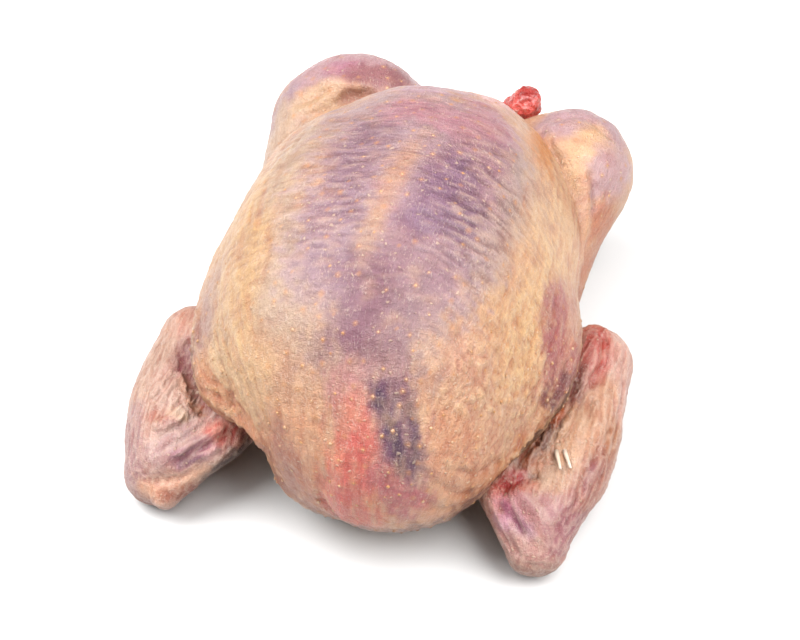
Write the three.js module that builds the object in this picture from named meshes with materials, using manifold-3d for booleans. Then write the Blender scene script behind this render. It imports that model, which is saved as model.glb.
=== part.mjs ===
// A whole dressed squab, lying on its back with the breast up, as one closed solid.
// Millimetres, +Z up. The neck end points to -Y, the tail to +Y, and the bird's own right side to +X.
// The wings are folded beside the breast, and the drumsticks fold back across the tail.
import * as THREE from "three";
import { mergeVertices } from "three/addons/utils/BufferGeometryUtils.js";
import Module from "manifold-3d";

// ---- Driving dimensions ----

// Where the middle of the box round the whole bird lies, from the point under the keel.
const MIDDLE = [-2.65, 18.47, 0];

// A soft mass: its centre, its half-sizes, and how widely it melts into the ones before it.
const TRUNK = { centre: [0.5, 7.7, 30], half: [35.4, 49.4, 31] };
const LEFT_BREAST = { centre: [-13.5, 5.7, 45], half: [26.5, 45.6, 27.5], melt: 13 };
const RIGHT_BREAST = { centre: [9.2, 11.6, 45.1], half: [21.7, 47, 27.6], melt: 13 };
const CROP = { centre: [4.9, -27, 30.4], half: [23, 22.4, 21.4], melt: 15 };
const NECK_FLAP = { centre: [-10.2, -32.7, 15.7], half: [10, 7.6, 9.7], melt: 8 };
const LEFT_FLANK = { centre: [-33.8, 2.9, 27.3], half: [13.5, 29.4, 16.8], melt: 11 };
const RIGHT_FLANK = { centre: [22.8, 1.8, 27.4], half: [19, 23.8, 15.9], melt: 11 };
const BELLY = { centre: [2.3, 41.4, 25.2], half: [33.7, 28.2, 23.8], melt: 19 };

// A limb: the points that its bones run through, and its radius at each.
const KEEL = { points: [[0, -23, 55], [0, 4, 64], [-4.2, 39, 57.2]], radii: [8.5, 8.5, 8], melt: 13 };
const TAIL = { points: [[0, 60, 12.5], [0, 82, 8.5]], radii: [10, 5.5] };
const LEFT_THIGH = { points: [[-25.6, 32.5, 20], [-32.8, 64.8, 30.7]], radii: [18.1, 12.8] };
const LEFT_DRUMSTICK = { points: [[-21, 73.9, 27.7], [10, 79, 28.5]], radii: [8.4, 5.2] };
const LEFT_CALF = { centre: [-23.6, 71.1, 32.4], half: [16.8, 13.4, 15.3], turn: -8, melt: 6 };
const LEFT_SHANK = { points: [[12, 78.5, 30], [19, 77, 38.5]], radii: [3.6, 4.2] };
const RIGHT_THIGH = { points: [[22.1, 32.6, 19.7], [31.3, 62, 29.5]], radii: [17.4, 14] };
const RIGHT_DRUMSTICK = { points: [[31.3, 62, 29.5], [-9.5, 80, 14.9]], radii: [14, 5.1] };
const RIGHT_SHANK = { points: [[-7, 79.5, 15], [-18, 81, 13]], radii: [3.4, 4.2] };

// A folded wing: its joints, its radius at the elbow and the wrist, the muscle along its forearm, and
// the thick lip of the skin that spans it, with its two ends and radii.
const LEFT_WING = {
  shoulder: [-26.3, -9, 19.4],
  elbow: [-51.1, 2.3, 16.5],
  wrist: [-50, -31.6, 7.3],
  radii: [5.9, 8.1],
  muscle: { centre: [-48.3, -14.9, 12], half: [10.7, 23.2, 9.1] },
  lip: { points: [[-45.5, -37.6, 8.4], [-34.5, -25.2, 15.4]], radii: [2.9, 2.3] },
};
const RIGHT_WING = {
  shoulder: [22.9, -15.1, 18.9],
  elbow: [45.4, 12.9, 15],
  wrist: [38.9, -34.2, 7.7],
  radii: [9, 6.4],
  muscle: { centre: [43.4, -7, 12], half: [10.4, 22.7, 8.9] },
  lip: { points: [[38, -37.6, 8.4], [30.1, -28.6, 15.4]], radii: [3, 2.4] },
};
const UPPER_ARM_RADII = [9.5, 7];
const LEADING_EDGE_RADII = [7, 4.8];
const WING_WEB = { half: [13.5, 23, 6.2] };
const WING_MELTS = { muscle: 5, arm: 4, web: 6, lip: 2.5 };

// The point that the body's skin is drawn in towards, and roughly how far it lies each way. A wing's
// lies in the middle of its three joints.
const BODY_WRAP = { centre: [0, 9, 33], reach: [44, 60, 37] };
const WING_REACH = [16, 32, 13];

// How many extra rows of triangles divide each face of an icosahedron, for each kind of mass.
const BODY_DETAIL = 12;
const LEG_DETAIL = 5;
const WING_DETAIL = 8;
const SMALL_DETAIL = 3;

// How many times the step towards the skin is halved, and a slab of table wider than the bird.
const HALVINGS = 24;
const TABLE = { width: 400, thickness: 40 };

const SKIN = { color: "#e8bfa0", roughness: 0.42, metalness: 0 };

// ---- Soft fields: below zero inside, above zero outside ----

const vector = (a) => new THREE.Vector3(...a);

// Two fields joined with a fillet as wide as melt.
function joined(a, b, melt) {
  const near = Math.max(melt - Math.abs(a - b), 0) / melt;
  return Math.min(a, b) - (near * near * melt) / 4;
}

function ellipsoid({ centre, half, turn = 0 }) {
  const middle = vector(centre);
  const size = vector(half);
  const unturn = -THREE.MathUtils.degToRad(turn);
  const axis = new THREE.Vector3(0, 0, 1);
  return (p) => {
    const q = p.clone().sub(middle).applyAxisAngle(axis, unturn).divide(size);
    const slope = q.clone().divide(size).length();
    const reach = q.length();
    return (reach * (reach - 1)) / Math.max(slope, 1e-9);
  };
}

// A tapering limb with round ends, through all its points.
function limb({ points, radii }) {
  const nodes = points.map(vector);
  return (p) => {
    let nearest = Infinity;
    for (let i = 0; i + 1 < nodes.length; i++) {
      const bone = new THREE.Line3(nodes[i], nodes[i + 1]);
      const along = bone.closestPointToPointParameter(p, true);
      const radius = THREE.MathUtils.lerp(radii[i], radii[i + 1], along);
      nearest = Math.min(nearest, bone.at(along, new THREE.Vector3()).distanceTo(p) - radius);
    }
    return nearest;
  };
}

// Several masses melted together, in order. Each melts by its own width.
function melted(first, ...others) {
  return (p) => others.reduce((sum, { field, melt }) => joined(sum, field(p), melt), first(p));
}

const soft = (mass) => ({ field: mass.points ? limb(mass) : ellipsoid(mass), melt: mass.melt });

function bodyField() {
  const breast = [LEFT_BREAST, RIGHT_BREAST, KEEL, CROP, NECK_FLAP];
  return melted(ellipsoid(TRUNK), ...[...breast, LEFT_FLANK, RIGHT_FLANK, BELLY].map(soft));
}

function average(...points) {
  return [0, 1, 2].map((i) => points.reduce((sum, p) => sum + p[i], 0) / points.length);
}

function wingField({ shoulder, elbow, wrist, radii, muscle, lip }) {
  const arm = (from, to, ends) => soft({ points: [from, to], radii: ends, melt: WING_MELTS.arm });
  return melted(
    limb({ points: [elbow, wrist], radii }),
    soft({ ...muscle, melt: WING_MELTS.muscle }),
    arm(shoulder, elbow, UPPER_ARM_RADII),
    arm(shoulder, wrist, LEADING_EDGE_RADII),
    soft({ centre: average(shoulder, elbow, wrist), ...WING_WEB, melt: WING_MELTS.web }),
    soft({ ...lip, melt: WING_MELTS.lip }),
  );
}

// ---- Geometry ----

const wasm = await Module();
wasm.setup();

// An icosphere whose every vertex slides along its own ray, from the centre, until it meets the field.
function wrapped(field, centre, reach, detail) {
  const geometry = new THREE.IcosahedronGeometry(1, detail);
  const vertex = geometry.getAttribute("position");
  const middle = vector(centre);
  const size = vector(reach);
  const p = new THREE.Vector3();
  for (let i = 0; i < vertex.count; i++) {
    const ray = new THREE.Vector3().fromBufferAttribute(vertex, i).normalize().multiply(size);
    let inside = 0;
    let outside = 2;
    for (let halving = 0; halving < HALVINGS; halving++) {
      const t = (inside + outside) / 2;
      p.copy(middle).addScaledVector(ray, t);
      if (field(p) < 0) inside = t;
      else outside = t;
    }
    vertex.setXYZ(i, p.x, p.y, p.z);
  }
  return geometry;
}

// A limb's wrap starts at its middle, and reaches along its own bones.
function wrappedLimb(field, { points, radii }, detail) {
  const ends = [vector(points[0]), vector(points.at(-1))];
  const centre = ends[0].clone().add(ends[1]).multiplyScalar(0.5);
  const thick = Math.max(...radii);
  const reach = ["x", "y", "z"].map((k) => Math.abs(ends[1][k] - ends[0][k]) / 2 + thick);
  return wrapped(field, centre.toArray(), reach, detail);
}

function solidOf(geometry) {
  const bare = new THREE.BufferGeometry().setAttribute("position", geometry.getAttribute("position"));
  const merged = mergeVertices(bare, 1e-3);
  const vertProperties = new Float32Array(merged.getAttribute("position").array);
  const triVerts = new Uint32Array(merged.index.array);
  return new wasm.Manifold(new wasm.Mesh({ numProp: 3, vertProperties, triVerts }));
}

function geometryOf(solid) {
  const { vertProperties, triVerts } = solid.getMesh();
  const geometry = new THREE.BufferGeometry();
  geometry.setAttribute("position", new THREE.BufferAttribute(vertProperties, 3));
  geometry.setIndex(new THREE.BufferAttribute(triVerts, 1));
  geometry.computeVertexNormals();
  return geometry;
}

function bodySolid() {
  return solidOf(wrapped(bodyField(), BODY_WRAP.centre, BODY_WRAP.reach, BODY_DETAIL));
}

function legSolids() {
  const leftDrumstick = melted(limb(LEFT_DRUMSTICK), soft(LEFT_CALF));
  return [
    solidOf(wrappedLimb(limb(LEFT_THIGH), LEFT_THIGH, LEG_DETAIL)),
    solidOf(wrappedLimb(leftDrumstick, LEFT_DRUMSTICK, LEG_DETAIL)),
    solidOf(wrappedLimb(limb(LEFT_SHANK), LEFT_SHANK, SMALL_DETAIL)),
    solidOf(wrappedLimb(limb(RIGHT_THIGH), RIGHT_THIGH, LEG_DETAIL)),
    solidOf(wrappedLimb(limb(RIGHT_DRUMSTICK), RIGHT_DRUMSTICK, LEG_DETAIL)),
    solidOf(wrappedLimb(limb(RIGHT_SHANK), RIGHT_SHANK, SMALL_DETAIL)),
  ];
}

function wingSolid(wing) {
  const centre = average(wing.shoulder, wing.elbow, wing.wrist);
  return solidOf(wrapped(wingField(wing), centre, WING_REACH, WING_DETAIL));
}

// Everything under the surface that the bird lies on is pressed flat.
function aboveTable(solid) {
  const slab = new THREE.BoxGeometry(TABLE.width, TABLE.width, TABLE.thickness).toNonIndexed();
  slab.translate(0, 0, -TABLE.thickness / 2);
  return solid.subtract(solidOf(slab));
}

function squab() {
  const tail = solidOf(wrappedLimb(limb(TAIL), TAIL, SMALL_DETAIL));
  const masses = [tail, ...legSolids(), wingSolid(LEFT_WING), wingSolid(RIGHT_WING)];
  const whole = masses.reduce((sum, mass) => sum.add(mass), bodySolid());
  const mesh = new THREE.Mesh(geometryOf(aboveTable(whole)), new THREE.MeshStandardMaterial(SKIN));
  mesh.name = "squab";
  mesh.position.copy(vector(MIDDLE)).negate();
  return mesh;
}

const bird = new THREE.Group();
bird.add(squab());

export default bird;
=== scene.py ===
import math
from functools import partial

import bpy
import numpy as np
from bpy.props import FloatProperty, FloatVectorProperty, IntProperty, PointerProperty
from mathutils import Matrix, Vector
from mathutils.kdtree import KDTree


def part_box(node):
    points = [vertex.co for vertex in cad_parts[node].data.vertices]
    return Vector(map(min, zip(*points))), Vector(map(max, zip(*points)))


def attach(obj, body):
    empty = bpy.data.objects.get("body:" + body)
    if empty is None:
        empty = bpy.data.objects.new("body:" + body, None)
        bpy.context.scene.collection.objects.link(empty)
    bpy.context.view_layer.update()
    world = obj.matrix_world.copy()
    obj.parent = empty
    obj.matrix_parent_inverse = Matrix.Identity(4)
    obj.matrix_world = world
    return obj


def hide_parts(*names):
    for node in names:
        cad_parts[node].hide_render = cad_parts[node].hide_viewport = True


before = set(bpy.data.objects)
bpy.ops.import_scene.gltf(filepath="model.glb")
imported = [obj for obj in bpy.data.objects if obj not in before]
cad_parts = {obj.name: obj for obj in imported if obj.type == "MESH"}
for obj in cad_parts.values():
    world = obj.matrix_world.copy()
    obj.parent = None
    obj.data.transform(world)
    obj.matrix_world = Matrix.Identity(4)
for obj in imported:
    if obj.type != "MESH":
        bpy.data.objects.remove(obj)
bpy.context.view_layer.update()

bl_info = {
    "name": "Raw squab",
    "version": (1, 0, 0),
    "blender": (4, 5, 0),
    "location": "3D View > Sidebar > Squab",
    "description": "Builds a whole dressed squab with its skin, wings, cut shanks, follicles and quills",
    "category": "Add Mesh",
}

# The bird is laid out in millimetres round the point under its keel: +X is its own right side, +Y its
# tail and +Z its breast. MIDDLE is the middle of its box from there, and LENGTH is the box along Y.
MIDDLE = np.array((-2.65, 18.47, 0.0))
LENGTH = 137.67
LOW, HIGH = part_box("squab")
MM = (HIGH.y - LOW.y) / LENGTH
ORIGIN = np.array(((LOW.x + HIGH.x) / 2, (LOW.y + HIGH.y) / 2, LOW.z))

SEED = 11

# Colours are written as they look under the strong studio light, and then dimmed to DIM, or to PALE_DIM
# for the quills. Blue is dimmed the most, because the white of the gloss is added to every colour.
DIM = (0.485, 0.442, 0.418)
PALE_DIM = (0.62, 0.60, 0.58)
FULL = (1.0, 1.0, 1.0)


def to_row(points):
    """The bird's own millimetres, as metres in the shared frame."""
    return (np.asarray(points, float) - MIDDLE) * MM + ORIGIN


def paint(code, shares=FULL):
    """A colour written as six hexadecimal figures, as scene light, and dimmed to these shares of it."""
    parts = [int(code[i:i + 2], 16) / 255 for i in (1, 3, 5)]
    light = [c / 12.92 if c <= 0.04045 else ((c + 0.055) / 1.055) ** 2.4 for c in parts]
    return tuple(share * part for share, part in zip(shares, light))


# ---------------------------------------------------------------------------
# Settings
# ---------------------------------------------------------------------------

class SquabForm(bpy.types.PropertyGroup):
    skin_cell: FloatProperty(
        name="Skin grid", description="Spacing of the grid that the body's skin is drawn on",
        default=0.72 * MM, unit="LENGTH")
    wing_cell: FloatProperty(
        name="Wing grid", description="Spacing of the grid that the wings are drawn on",
        default=0.42 * MM, unit="LENGTH")
    shank_cell: FloatProperty(
        name="Shank grid", description="Spacing of the grid that the cut shanks are drawn on",
        default=0.25 * MM, unit="LENGTH")
    pucker: FloatProperty(
        name="Pucker", description="Height of the fine rows across the breast",
        default=0.22 * MM, unit="LENGTH")
    pebble: FloatProperty(
        name="Pebbling", description="Height of the fat lumps under the lower skin",
        default=0.48 * MM, unit="LENGTH")
    follicle_gap: FloatProperty(
        name="Follicle gap", description="Mean distance between two feather follicles",
        default=4.1 * MM, unit="LENGTH")
    nodule_radius: FloatProperty(
        name="Nodule radius", description="Radius of the fat nodule in a follicle",
        default=0.42 * MM, unit="LENGTH")
    quill_radius: FloatProperty(
        name="Quill radius", description="Radius of a quill stub at its thick end",
        default=0.55 * MM, unit="LENGTH")
    quill_length: FloatProperty(
        name="Quill length", description="How far a quill stub reaches along the skin",
        default=5.2 * MM, unit="LENGTH")
    seed: IntProperty(name="Seed", description="Seed of everything that is scattered", default=SEED)


class SquabColours(bpy.types.PropertyGroup):
    skin: FloatVectorProperty(
        name="Skin", description="Colour of the plain skin", subtype="COLOR",
        default=paint("#e7bb98", DIM))
    wing: FloatVectorProperty(
        name="Wing skin", description="Colour of the plain skin on the wings", subtype="COLOR",
        default=paint("#daae9d", DIM))
    flesh: FloatVectorProperty(
        name="Raw flesh", description="Colour of the cut flesh", subtype="COLOR",
        default=paint("#ea5a50", DIM))
    nodule: FloatVectorProperty(
        name="Nodule", description="Colour of the fat nodules", subtype="COLOR",
        default=paint("#d3965a", DIM))
    quill: FloatVectorProperty(
        name="Quill", description="Colour of the quill stubs", subtype="COLOR",
        default=paint("#fff1e2", PALE_DIM))
    floor: FloatVectorProperty(
        name="Floor", description="Colour of the plain floor", subtype="COLOR",
        default=paint("#cccccc"))


class SquabStudio(bpy.types.PropertyGroup):
    lens: FloatProperty(
        name="Lens", description="Focal length of the camera in millimetres", default=90.0)
    azimuth: FloatProperty(
        name="Azimuth", description="How far the camera stands to the right of the neck end",
        default=math.radians(11.5), subtype="ANGLE")
    elevation: FloatProperty(
        name="Elevation", description="How far the camera looks down",
        default=math.radians(48), subtype="ANGLE")
    distance: FloatProperty(
        name="Distance", description="From the camera to the middle of the bird",
        default=465.5 * MM, unit="LENGTH")
    side_power: FloatProperty(
        name="Side power", description="Power of the large soft lamp on the left",
        default=14.0, unit="POWER")
    top_power: FloatProperty(
        name="Top power", description="Power of the large soft lamp overhead", default=6.5, unit="POWER")
    world: FloatProperty(
        name="Room light", description="Brightness of the white room round the bird", default=0.06)


# ---------------------------------------------------------------------------
# Soft fields, in the bird's millimetres: below zero inside, above zero outside
# ---------------------------------------------------------------------------

def row(*numbers):
    """The numbers as an array, so that they can be added and scaled."""
    return np.array(numbers, float)


def melt(a, b, width):
    """Two fields joined with a fillet as wide as width."""
    near = np.maximum(width - np.abs(a - b), 0.0) / width
    return np.minimum(a, b) - near * near * width / 4


def ball(p, centre, half, turn=0.0):
    """An ellipsoid, turned by degrees about a vertical axis."""
    q = p - row(*centre)
    if turn:
        c, s = math.cos(math.radians(turn)), math.sin(math.radians(turn))
        q = np.stack((c * q[:, 0] + s * q[:, 1], c * q[:, 1] - s * q[:, 0], q[:, 2]), -1)
    half = row(*half)
    reach = np.linalg.norm(q / half, axis=-1)
    slope = np.linalg.norm(q / (half * half), axis=-1)
    return reach * (reach - 1) / np.maximum(slope, 1e-9)


def bone(p, a, b, ra, rb):
    """A tapering limb with round ends."""
    a, b = row(*a), row(*b)
    along = np.clip((p - a) @ (b - a) / max((b - a) @ (b - a), 1e-9), 0, 1)
    return np.linalg.norm(p - a - along[:, None] * (b - a), axis=-1) - (ra + (rb - ra) * along)


def crease(p, line, width):
    """1 on a line through several points, fading away from it over about width."""
    line = np.array(line, float)
    share = np.zeros(len(p))
    close = np.nonzero(np.all((p > line.min(0) - 3 * width) & (p < line.max(0) + 3 * width), 1))[0]
    q = p[close]
    if len(q):
        away = np.min([bone(q, a, b, 0, 0) for a, b in zip(line[:-1], line[1:])], axis=0)
        share[close] = np.exp(-(away / width) ** 2)
    return share


# The masses of the body: the centre and the half-sizes of each.
TRUNK = (0.5, 7.7, 30), (35.4, 49.4, 31)
LEFT_BREAST = (-13.5, 5.7, 45), (26.5, 45.6, 27.5)
RIGHT_BREAST = (9.2, 11.6, 45.1), (21.7, 47, 27.6)
CROP = (4.9, -27, 30.4), (23, 22.4, 21.4)
NECK_FLAP = (-10.2, -31.4, 15.9), (10, 7.6, 9.7)
LEFT_FLANK = (-33.8, 2.9, 27.3), (13.5, 29.4, 16.8)
RIGHT_FLANK = (22.8, 1.8, 27.4), (19, 23.8, 15.9)
BELLY = (2.3, 41.4, 25.2), (33.7, 28.2, 23.8)

# The limbs: the two ends of each, and the radius there.
KEEL_FRONT = (0, -23, 55), (0, 4, 64), 8.5, 8.5
KEEL_BACK = (0, 4, 64), (-4.2, 39, 57.2), 8.5, 8
TAIL = (0, 60, 12.5), (0, 82, 8.5), 10, 5.5
LEFT_THIGH = (-25.6, 32.5, 20), (-32.8, 64.8, 30.7), 18.1, 12.8
LEFT_DRUMSTICK = (-21, 73.9, 27.7), (10, 79, 28.5), 8.4, 5.2
LEFT_CALF = (-23.6, 71.1, 32.4), (16.8, 13.4, 15.3), -8
RIGHT_THIGH = (22.1, 32.6, 19.7), (31.3, 62, 29.5), 17.4, 14
RIGHT_DRUMSTICK = (31.3, 62, 29.5), (-9.5, 80, 14.9), 14, 5.1


def body(p):
    """The trunk with everything but the tail and legs melted into it, one mass after another."""
    d = ball(p, *TRUNK)
    d = melt(d, ball(p, *LEFT_BREAST), 13)
    d = melt(d, ball(p, *RIGHT_BREAST), 13)
    d = melt(d, np.minimum(bone(p, *KEEL_FRONT), bone(p, *KEEL_BACK)), 13)
    d = melt(d, ball(p, *CROP), 15)
    d = melt(d, ball(p, *NECK_FLAP), 8)
    d = melt(d, ball(p, *LEFT_FLANK), 11)
    d = melt(d, ball(p, *RIGHT_FLANK), 11)
    return melt(d, ball(p, *BELLY), 19)


def left_leg(p):
    """The thigh, and the drumstick with its calf folded back across the tail."""
    calf_and_shin = melt(bone(p, *LEFT_DRUMSTICK), ball(p, *LEFT_CALF), 6)
    return melt(bone(p, *LEFT_THIGH), calf_and_shin, 7)


def right_leg(p):
    """The thigh, and the drumstick folded back under the left one."""
    return melt(bone(p, *RIGHT_THIGH), bone(p, *RIGHT_DRUMSTICK), 8)


def tucked(whole, limb, fillet, depth):
    """A limb joined to the whole, with a narrow crease where the two skins meet."""
    seam = depth * np.exp(-((whole - limb) / 1.5) ** 2 - (np.minimum(whole, limb) / 5.0) ** 2)
    return melt(whole, limb, fillet) + seam


# The folds of the body's and the legs' skin: how wide one is, how deep it sinks, or stands up when below
# zero, and the points that it runs through.
SKIN_FOLDS = [
    (1.9, 2.4, [(-20, 64, 45.5), (-22.5, 62.8, 44.5), (-25, 61.8, 44.2)]),
    (1.7, -1.5, [(-31, 65.5, 45.3), (-27, 65.6, 46.2), (-24, 65.4, 46.5), (-20.5, 64.8, 45.8)]),
    (0.9, 0.8, [(-34.5, 56, 41.8), (-31, 57.6, 42.6), (-27.5, 60, 43.4), (-24.5, 61.6, 44)]),
    (0.9, -0.7, [(-36, 58, 41.6), (-33, 58.8, 42.6), (-30, 61.5, 44), (-27, 63.2, 45.2)]),
    (0.8, 0.5, [(-37, 60, 42.2), (-33.5, 61.2, 43.8), (-30, 63.6, 45.2)]),
    (0.8, 0.4, [(-41, 50, 36), (-37.5, 52, 39.5), (-34.5, 55.5, 41.5)]),
    (1.2, 1.3, [(24, 60, 43.8), (26, 57, 43.9), (28.5, 53, 43), (31.5, 48.8, 41.5), (34, 45.5, 39)]),
    (1.6, -0.8, [(36.2, 50, 40.5), (37.8, 45, 36.5), (38.4, 39, 32), (38.6, 32, 30)]),
    (0.9, 0.6, [(37.5, 51, 40.5), (39, 48.5, 37.5), (40, 45.5, 34.5)]),
    (0.7, 0.45, [(31, 46, 45), (33.5, 45, 41.5), (36, 43, 37.5), (37.8, 39, 33.5)]),
    (0.7, 0.4, [(32.5, 42, 45.5), (35, 41, 41.5), (37, 38, 37), (38.2, 33, 34)]),
    (1.3, 0.7, [(27, 64, 44.5), (31.5, 66.5, 45), (36.5, 65, 44.5), (40.5, 63, 42.5)]),
    (1.6, 1.2, [(-6, -48.5, 36), (-6.5, -48.5, 31.5), (-6.5, -48, 26.5), (-4.5, -48, 22)]),
    (1.3, -0.6, [(-3, -47.5, 41.5), (-2, -49, 37.5), (-1.5, -50, 31.5), (-1.5, -48.5, 23.5)]),
    (1.1, 0.5, [(-13, -44, 34), (-13.5, -44.5, 27), (-12, -44, 20)]),
    (0.9, 0.6, [(18.5, -45.5, 37), (20.5, -44.5, 34), (23, -43, 30.5), (25, -40.5, 29)]),
    (0.9, 0.6, [(16, -47.5, 33), (18.5, -46, 29), (21.5, -43.5, 26.5)]),
    (0.8, 0.5, [(21, -42.5, 39), (24, -40.5, 36), (27, -37.5, 33.5), (29.5, -33, 32)]),
    (1.0, 0.75, [(-36.5, -25.5, 35.5), (-35, -27, 32), (-33, -28.5, 28.5)]),
    (1.0, 0.75, [(-34.5, -25, 41), (-32, -28.5, 36), (-30.5, -30, 30.5)]),
    (1.0, 0.75, [(-32, -28, 46), (-28.5, -33, 42.5), (-26, -35, 36)]),
    (1.0, 0.7, [(-27.5, -32.5, 49.5), (-24, -37, 44.5), (-21.5, -39.5, 37.5)]),
    (1.0, 0.5, [(-24, -35, 51.5), (-21, -39, 46), (-18.5, -41.5, 40.5)]),
    (0.9, 0.4, [(-36.5, -18, 48), (-33, -24, 47.5), (-29.5, -30, 46), (-27.5, -33.5, 43)]),
    (0.9, 0.4, [(-38.5, -20, 42), (-35.5, -25, 40), (-32.5, -28.5, 38)]),
]

# Where the body's skin hangs over each wing in a thick, lumpy roll.
ROLLS = [
    [(-43.5, -9, 37), (-42.5, -16, 35), (-39.5, -22, 32.5), (-34.5, -27.5, 30), (-29.5, -32, 30),
     (-24, -37, 31)],
    [(41.5, 0, 36), (41, -8, 33), (38.5, -15, 31.5), (35, -22, 30.5), (30, -30, 29.5), (25, -37, 28.5)],
]
ROLL_WIDTH, ROLL_HEIGHT = 2.3, 1.2


def skin_field(p):
    """The body, tail and legs with their folds and rolls, cut off where the bird lies on the surface."""
    d = melt(body(p), bone(p, *TAIL), 9)
    for leg in (left_leg, right_leg):
        d = tucked(d, leg(p), 3.5, 0.9)
    for width, depth, line in SKIN_FOLDS:
        d += depth * crease(p, line, width)
    for line in ROLLS:
        d -= ROLL_HEIGHT * crease(p, line, ROLL_WIDTH)
    return -melt(-d, p[:, 2], 2)


# The skin's folds on each wing: how wide one is, how deep it sinks, or stands up when below zero, and
# the points that it runs through.
LEFT_FOLDS = [
    (2.3, 2.9,
        [(-48.5, -7.5, 23), (-47, -11.5, 22.5), (-45, -15, 22.5), (-43, -18.5, 22), (-41, -22, 21.5)]),
    (1.2, 1.5, [(-44.5, -12, 22), (-43.5, -16, 22), (-42, -20, 22), (-40, -23.5, 21)]),
    (0.9, 1.1, [(-48.5, -31.5, 19.5), (-44.5, -28.5, 20.5), (-41.5, -25, 21), (-39.5, -23.5, 21)]),
    (1.0, -0.9, [(-50, -29, 20), (-47, -26, 21), (-44.5, -23, 21.5), (-41.5, -23, 21.5)]),
    (0.8, -0.7, [(-48, -29.5, 20), (-45, -26.5, 21), (-43, -24, 21)]),
    (0.8, 0.7, [(-49.5, -27, 20.5), (-46.5, -23.5, 21.5), (-44, -21.5, 21.5)]),
    (0.9, -1.0, [(-48, -14.5, 22.5), (-45.5, -18.5, 22), (-43, -21.5, 21.5)]),
    (0.7, -0.5, [(-50.5, -14, 22.5), (-51.5, -18.5, 22), (-53, -21.5, 21)]),
    (0.7, 0.5, [(-49.5, -15.5, 22.5), (-50.8, -19.8, 22), (-52.3, -22.8, 21)]),
    (0.7, -0.6, [(-48.5, -17, 22.5), (-50, -21, 22), (-51.5, -24, 21)]),
    (0.8, 0.45, [(-49, -11, 23), (-51.5, -14.5, 22), (-54, -18, 21)]),
    (1.1, 1.3,
        [(-42.5, -36, 16.5), (-40.5, -33.5, 18), (-37.5, -31.5, 18), (-35, -29.5, 18),
         (-33.5, -27.5, 18.5)]),
    (1.5, 1.4, [(-38, -34.5, 16.5), (-40.5, -35.8, 16.5), (-43.5, -36.5, 17)]),
    (0.9, 0.8, [(-46.5, -34, 18.5), (-42.5, -30.5, 19.5), (-39.5, -27, 20), (-37, -24.5, 20.5)]),
    (1.1, -0.8, [(-43.5, -35, 18), (-39.5, -30.5, 19), (-35.5, -26.5, 19.5)]),
    (0.9, -0.6, [(-40.5, -35.5, 16.5), (-38, -33, 17), (-35.5, -30.5, 17.5)]),
    (0.9, 1.0,
        [(-50.5, -39.5, 13), (-44.5, -39, 13), (-40.5, -37, 14.5), (-37, -35, 15),
         (-35.5, -32.5, 16.5), (-32.5, -28, 17.5)]),
    (0.9, 0.25,
        [(-53, 1, 24), (-56, -4, 20), (-57, -13, 19), (-56, -22, 19), (-55, -29, 17), (-55, -35, 15)]),
    (0.8, 0.25,
        [(-52, 3, 24), (-54, -2, 23), (-55, -9, 21), (-55, -18, 20), (-54, -25, 20), (-53, -32, 18)]),
]
RIGHT_FOLDS = [
    (1.3, 2.6, [(47, 14.5, 24), (48, 9.5, 23.5), (48, 6, 22.5), (46.5, 2.5, 22.5)]),
    (2.6, -1.5,
        [(45, 12.5, 24.5), (45.5, 8, 24), (44.5, 3, 23), (43.5, -1.5, 23), (41, -6.5, 22.5),
         (39, -10.5, 22.5)]),
    (1.2, -1.1, [(42, 14.5, 23.5), (43, 17.5, 22.5), (45, 18.5, 22), (47, 16.5, 23.5), (48, 13, 24)]),
    (1.6, 1.8,
        [(42.5, -1, 23), (41, -4.5, 23), (39, -8.5, 22.5), (36.5, -13, 22.5), (34.5, -18.5, 21.5),
         (33, -23.5, 21)]),
    (1.0, 1.0, [(46.5, 2.5, 22.5), (45, -1.5, 22.5), (42.5, -6.5, 22.5), (40.5, -11, 22)]),
    (0.8, 0.6, [(44.5, -4.5, 22.5), (43.5, -10, 22), (43, -14.5, 22)]),
    (0.8, 0.5, [(46.5, -3, 22), (46.5, -8.5, 21.5), (46, -13, 21.5)]),
    (0.8, 0.7, [(40.5, -11.5, 22), (40, -16, 21.5), (40.5, -20.5, 21)]),
    (0.8, 0.6, [(42.5, -14.5, 22), (43, -19, 21.5), (44.5, -22.5, 20.5)]),
    (0.9, -0.7, [(43, -5.5, 22.5), (43, -10, 22), (41.5, -14.5, 22)]),
    (0.9, -0.6, [(48, -4, 21.5), (48.5, -9, 21), (48.5, -13.5, 20.5)]),
    (0.7, 0.7, [(48.5, -14.5, 20.5), (51, -15.5, 18.5), (52, -15, 17.5)]),
    (1.2, -1.1, [(39, -14.5, 21.5), (36.5, -19.5, 21), (34.5, -22.5, 21)]),
    (0.8, 0.35, [(53, -1, 17), (52, -8, 18), (50.5, -13.5, 18.5), (49, -18, 19)]),
    (0.9, 0.35, [(52.5, 11, 21), (53, 5, 17), (53, -3.5, 16), (52.5, -12.5, 16.5), (51, -21.5, 15.5)]),
    (0.8, 0.3, [(50, 13.5, 23), (51, 7.5, 21), (51.5, 0, 19), (51.5, -8.5, 18.5)]),
    (0.9, 0.5, [(48.5, -22, 19), (47.5, -26.5, 17.5), (46.5, -31.5, 15.5)]),
    (1.1, 1.1, [(29.5, -31, 18.5), (33, -28.5, 20), (37, -26, 20)]),
    (1.2, 0.9, [(30, -34, 16.5), (33.5, -36, 16), (36.5, -38.5, 14.5)]),
    (1.6, -0.8, [(33.5, -30.5, 19), (38.5, -34, 17.5), (40.5, -38, 14.5)]),
    (1.0, 0.5, [(29.5, -36, 13), (32.5, -38.5, 12.5), (36, -41, 11), (40, -42.5, 9)]),
]

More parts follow.
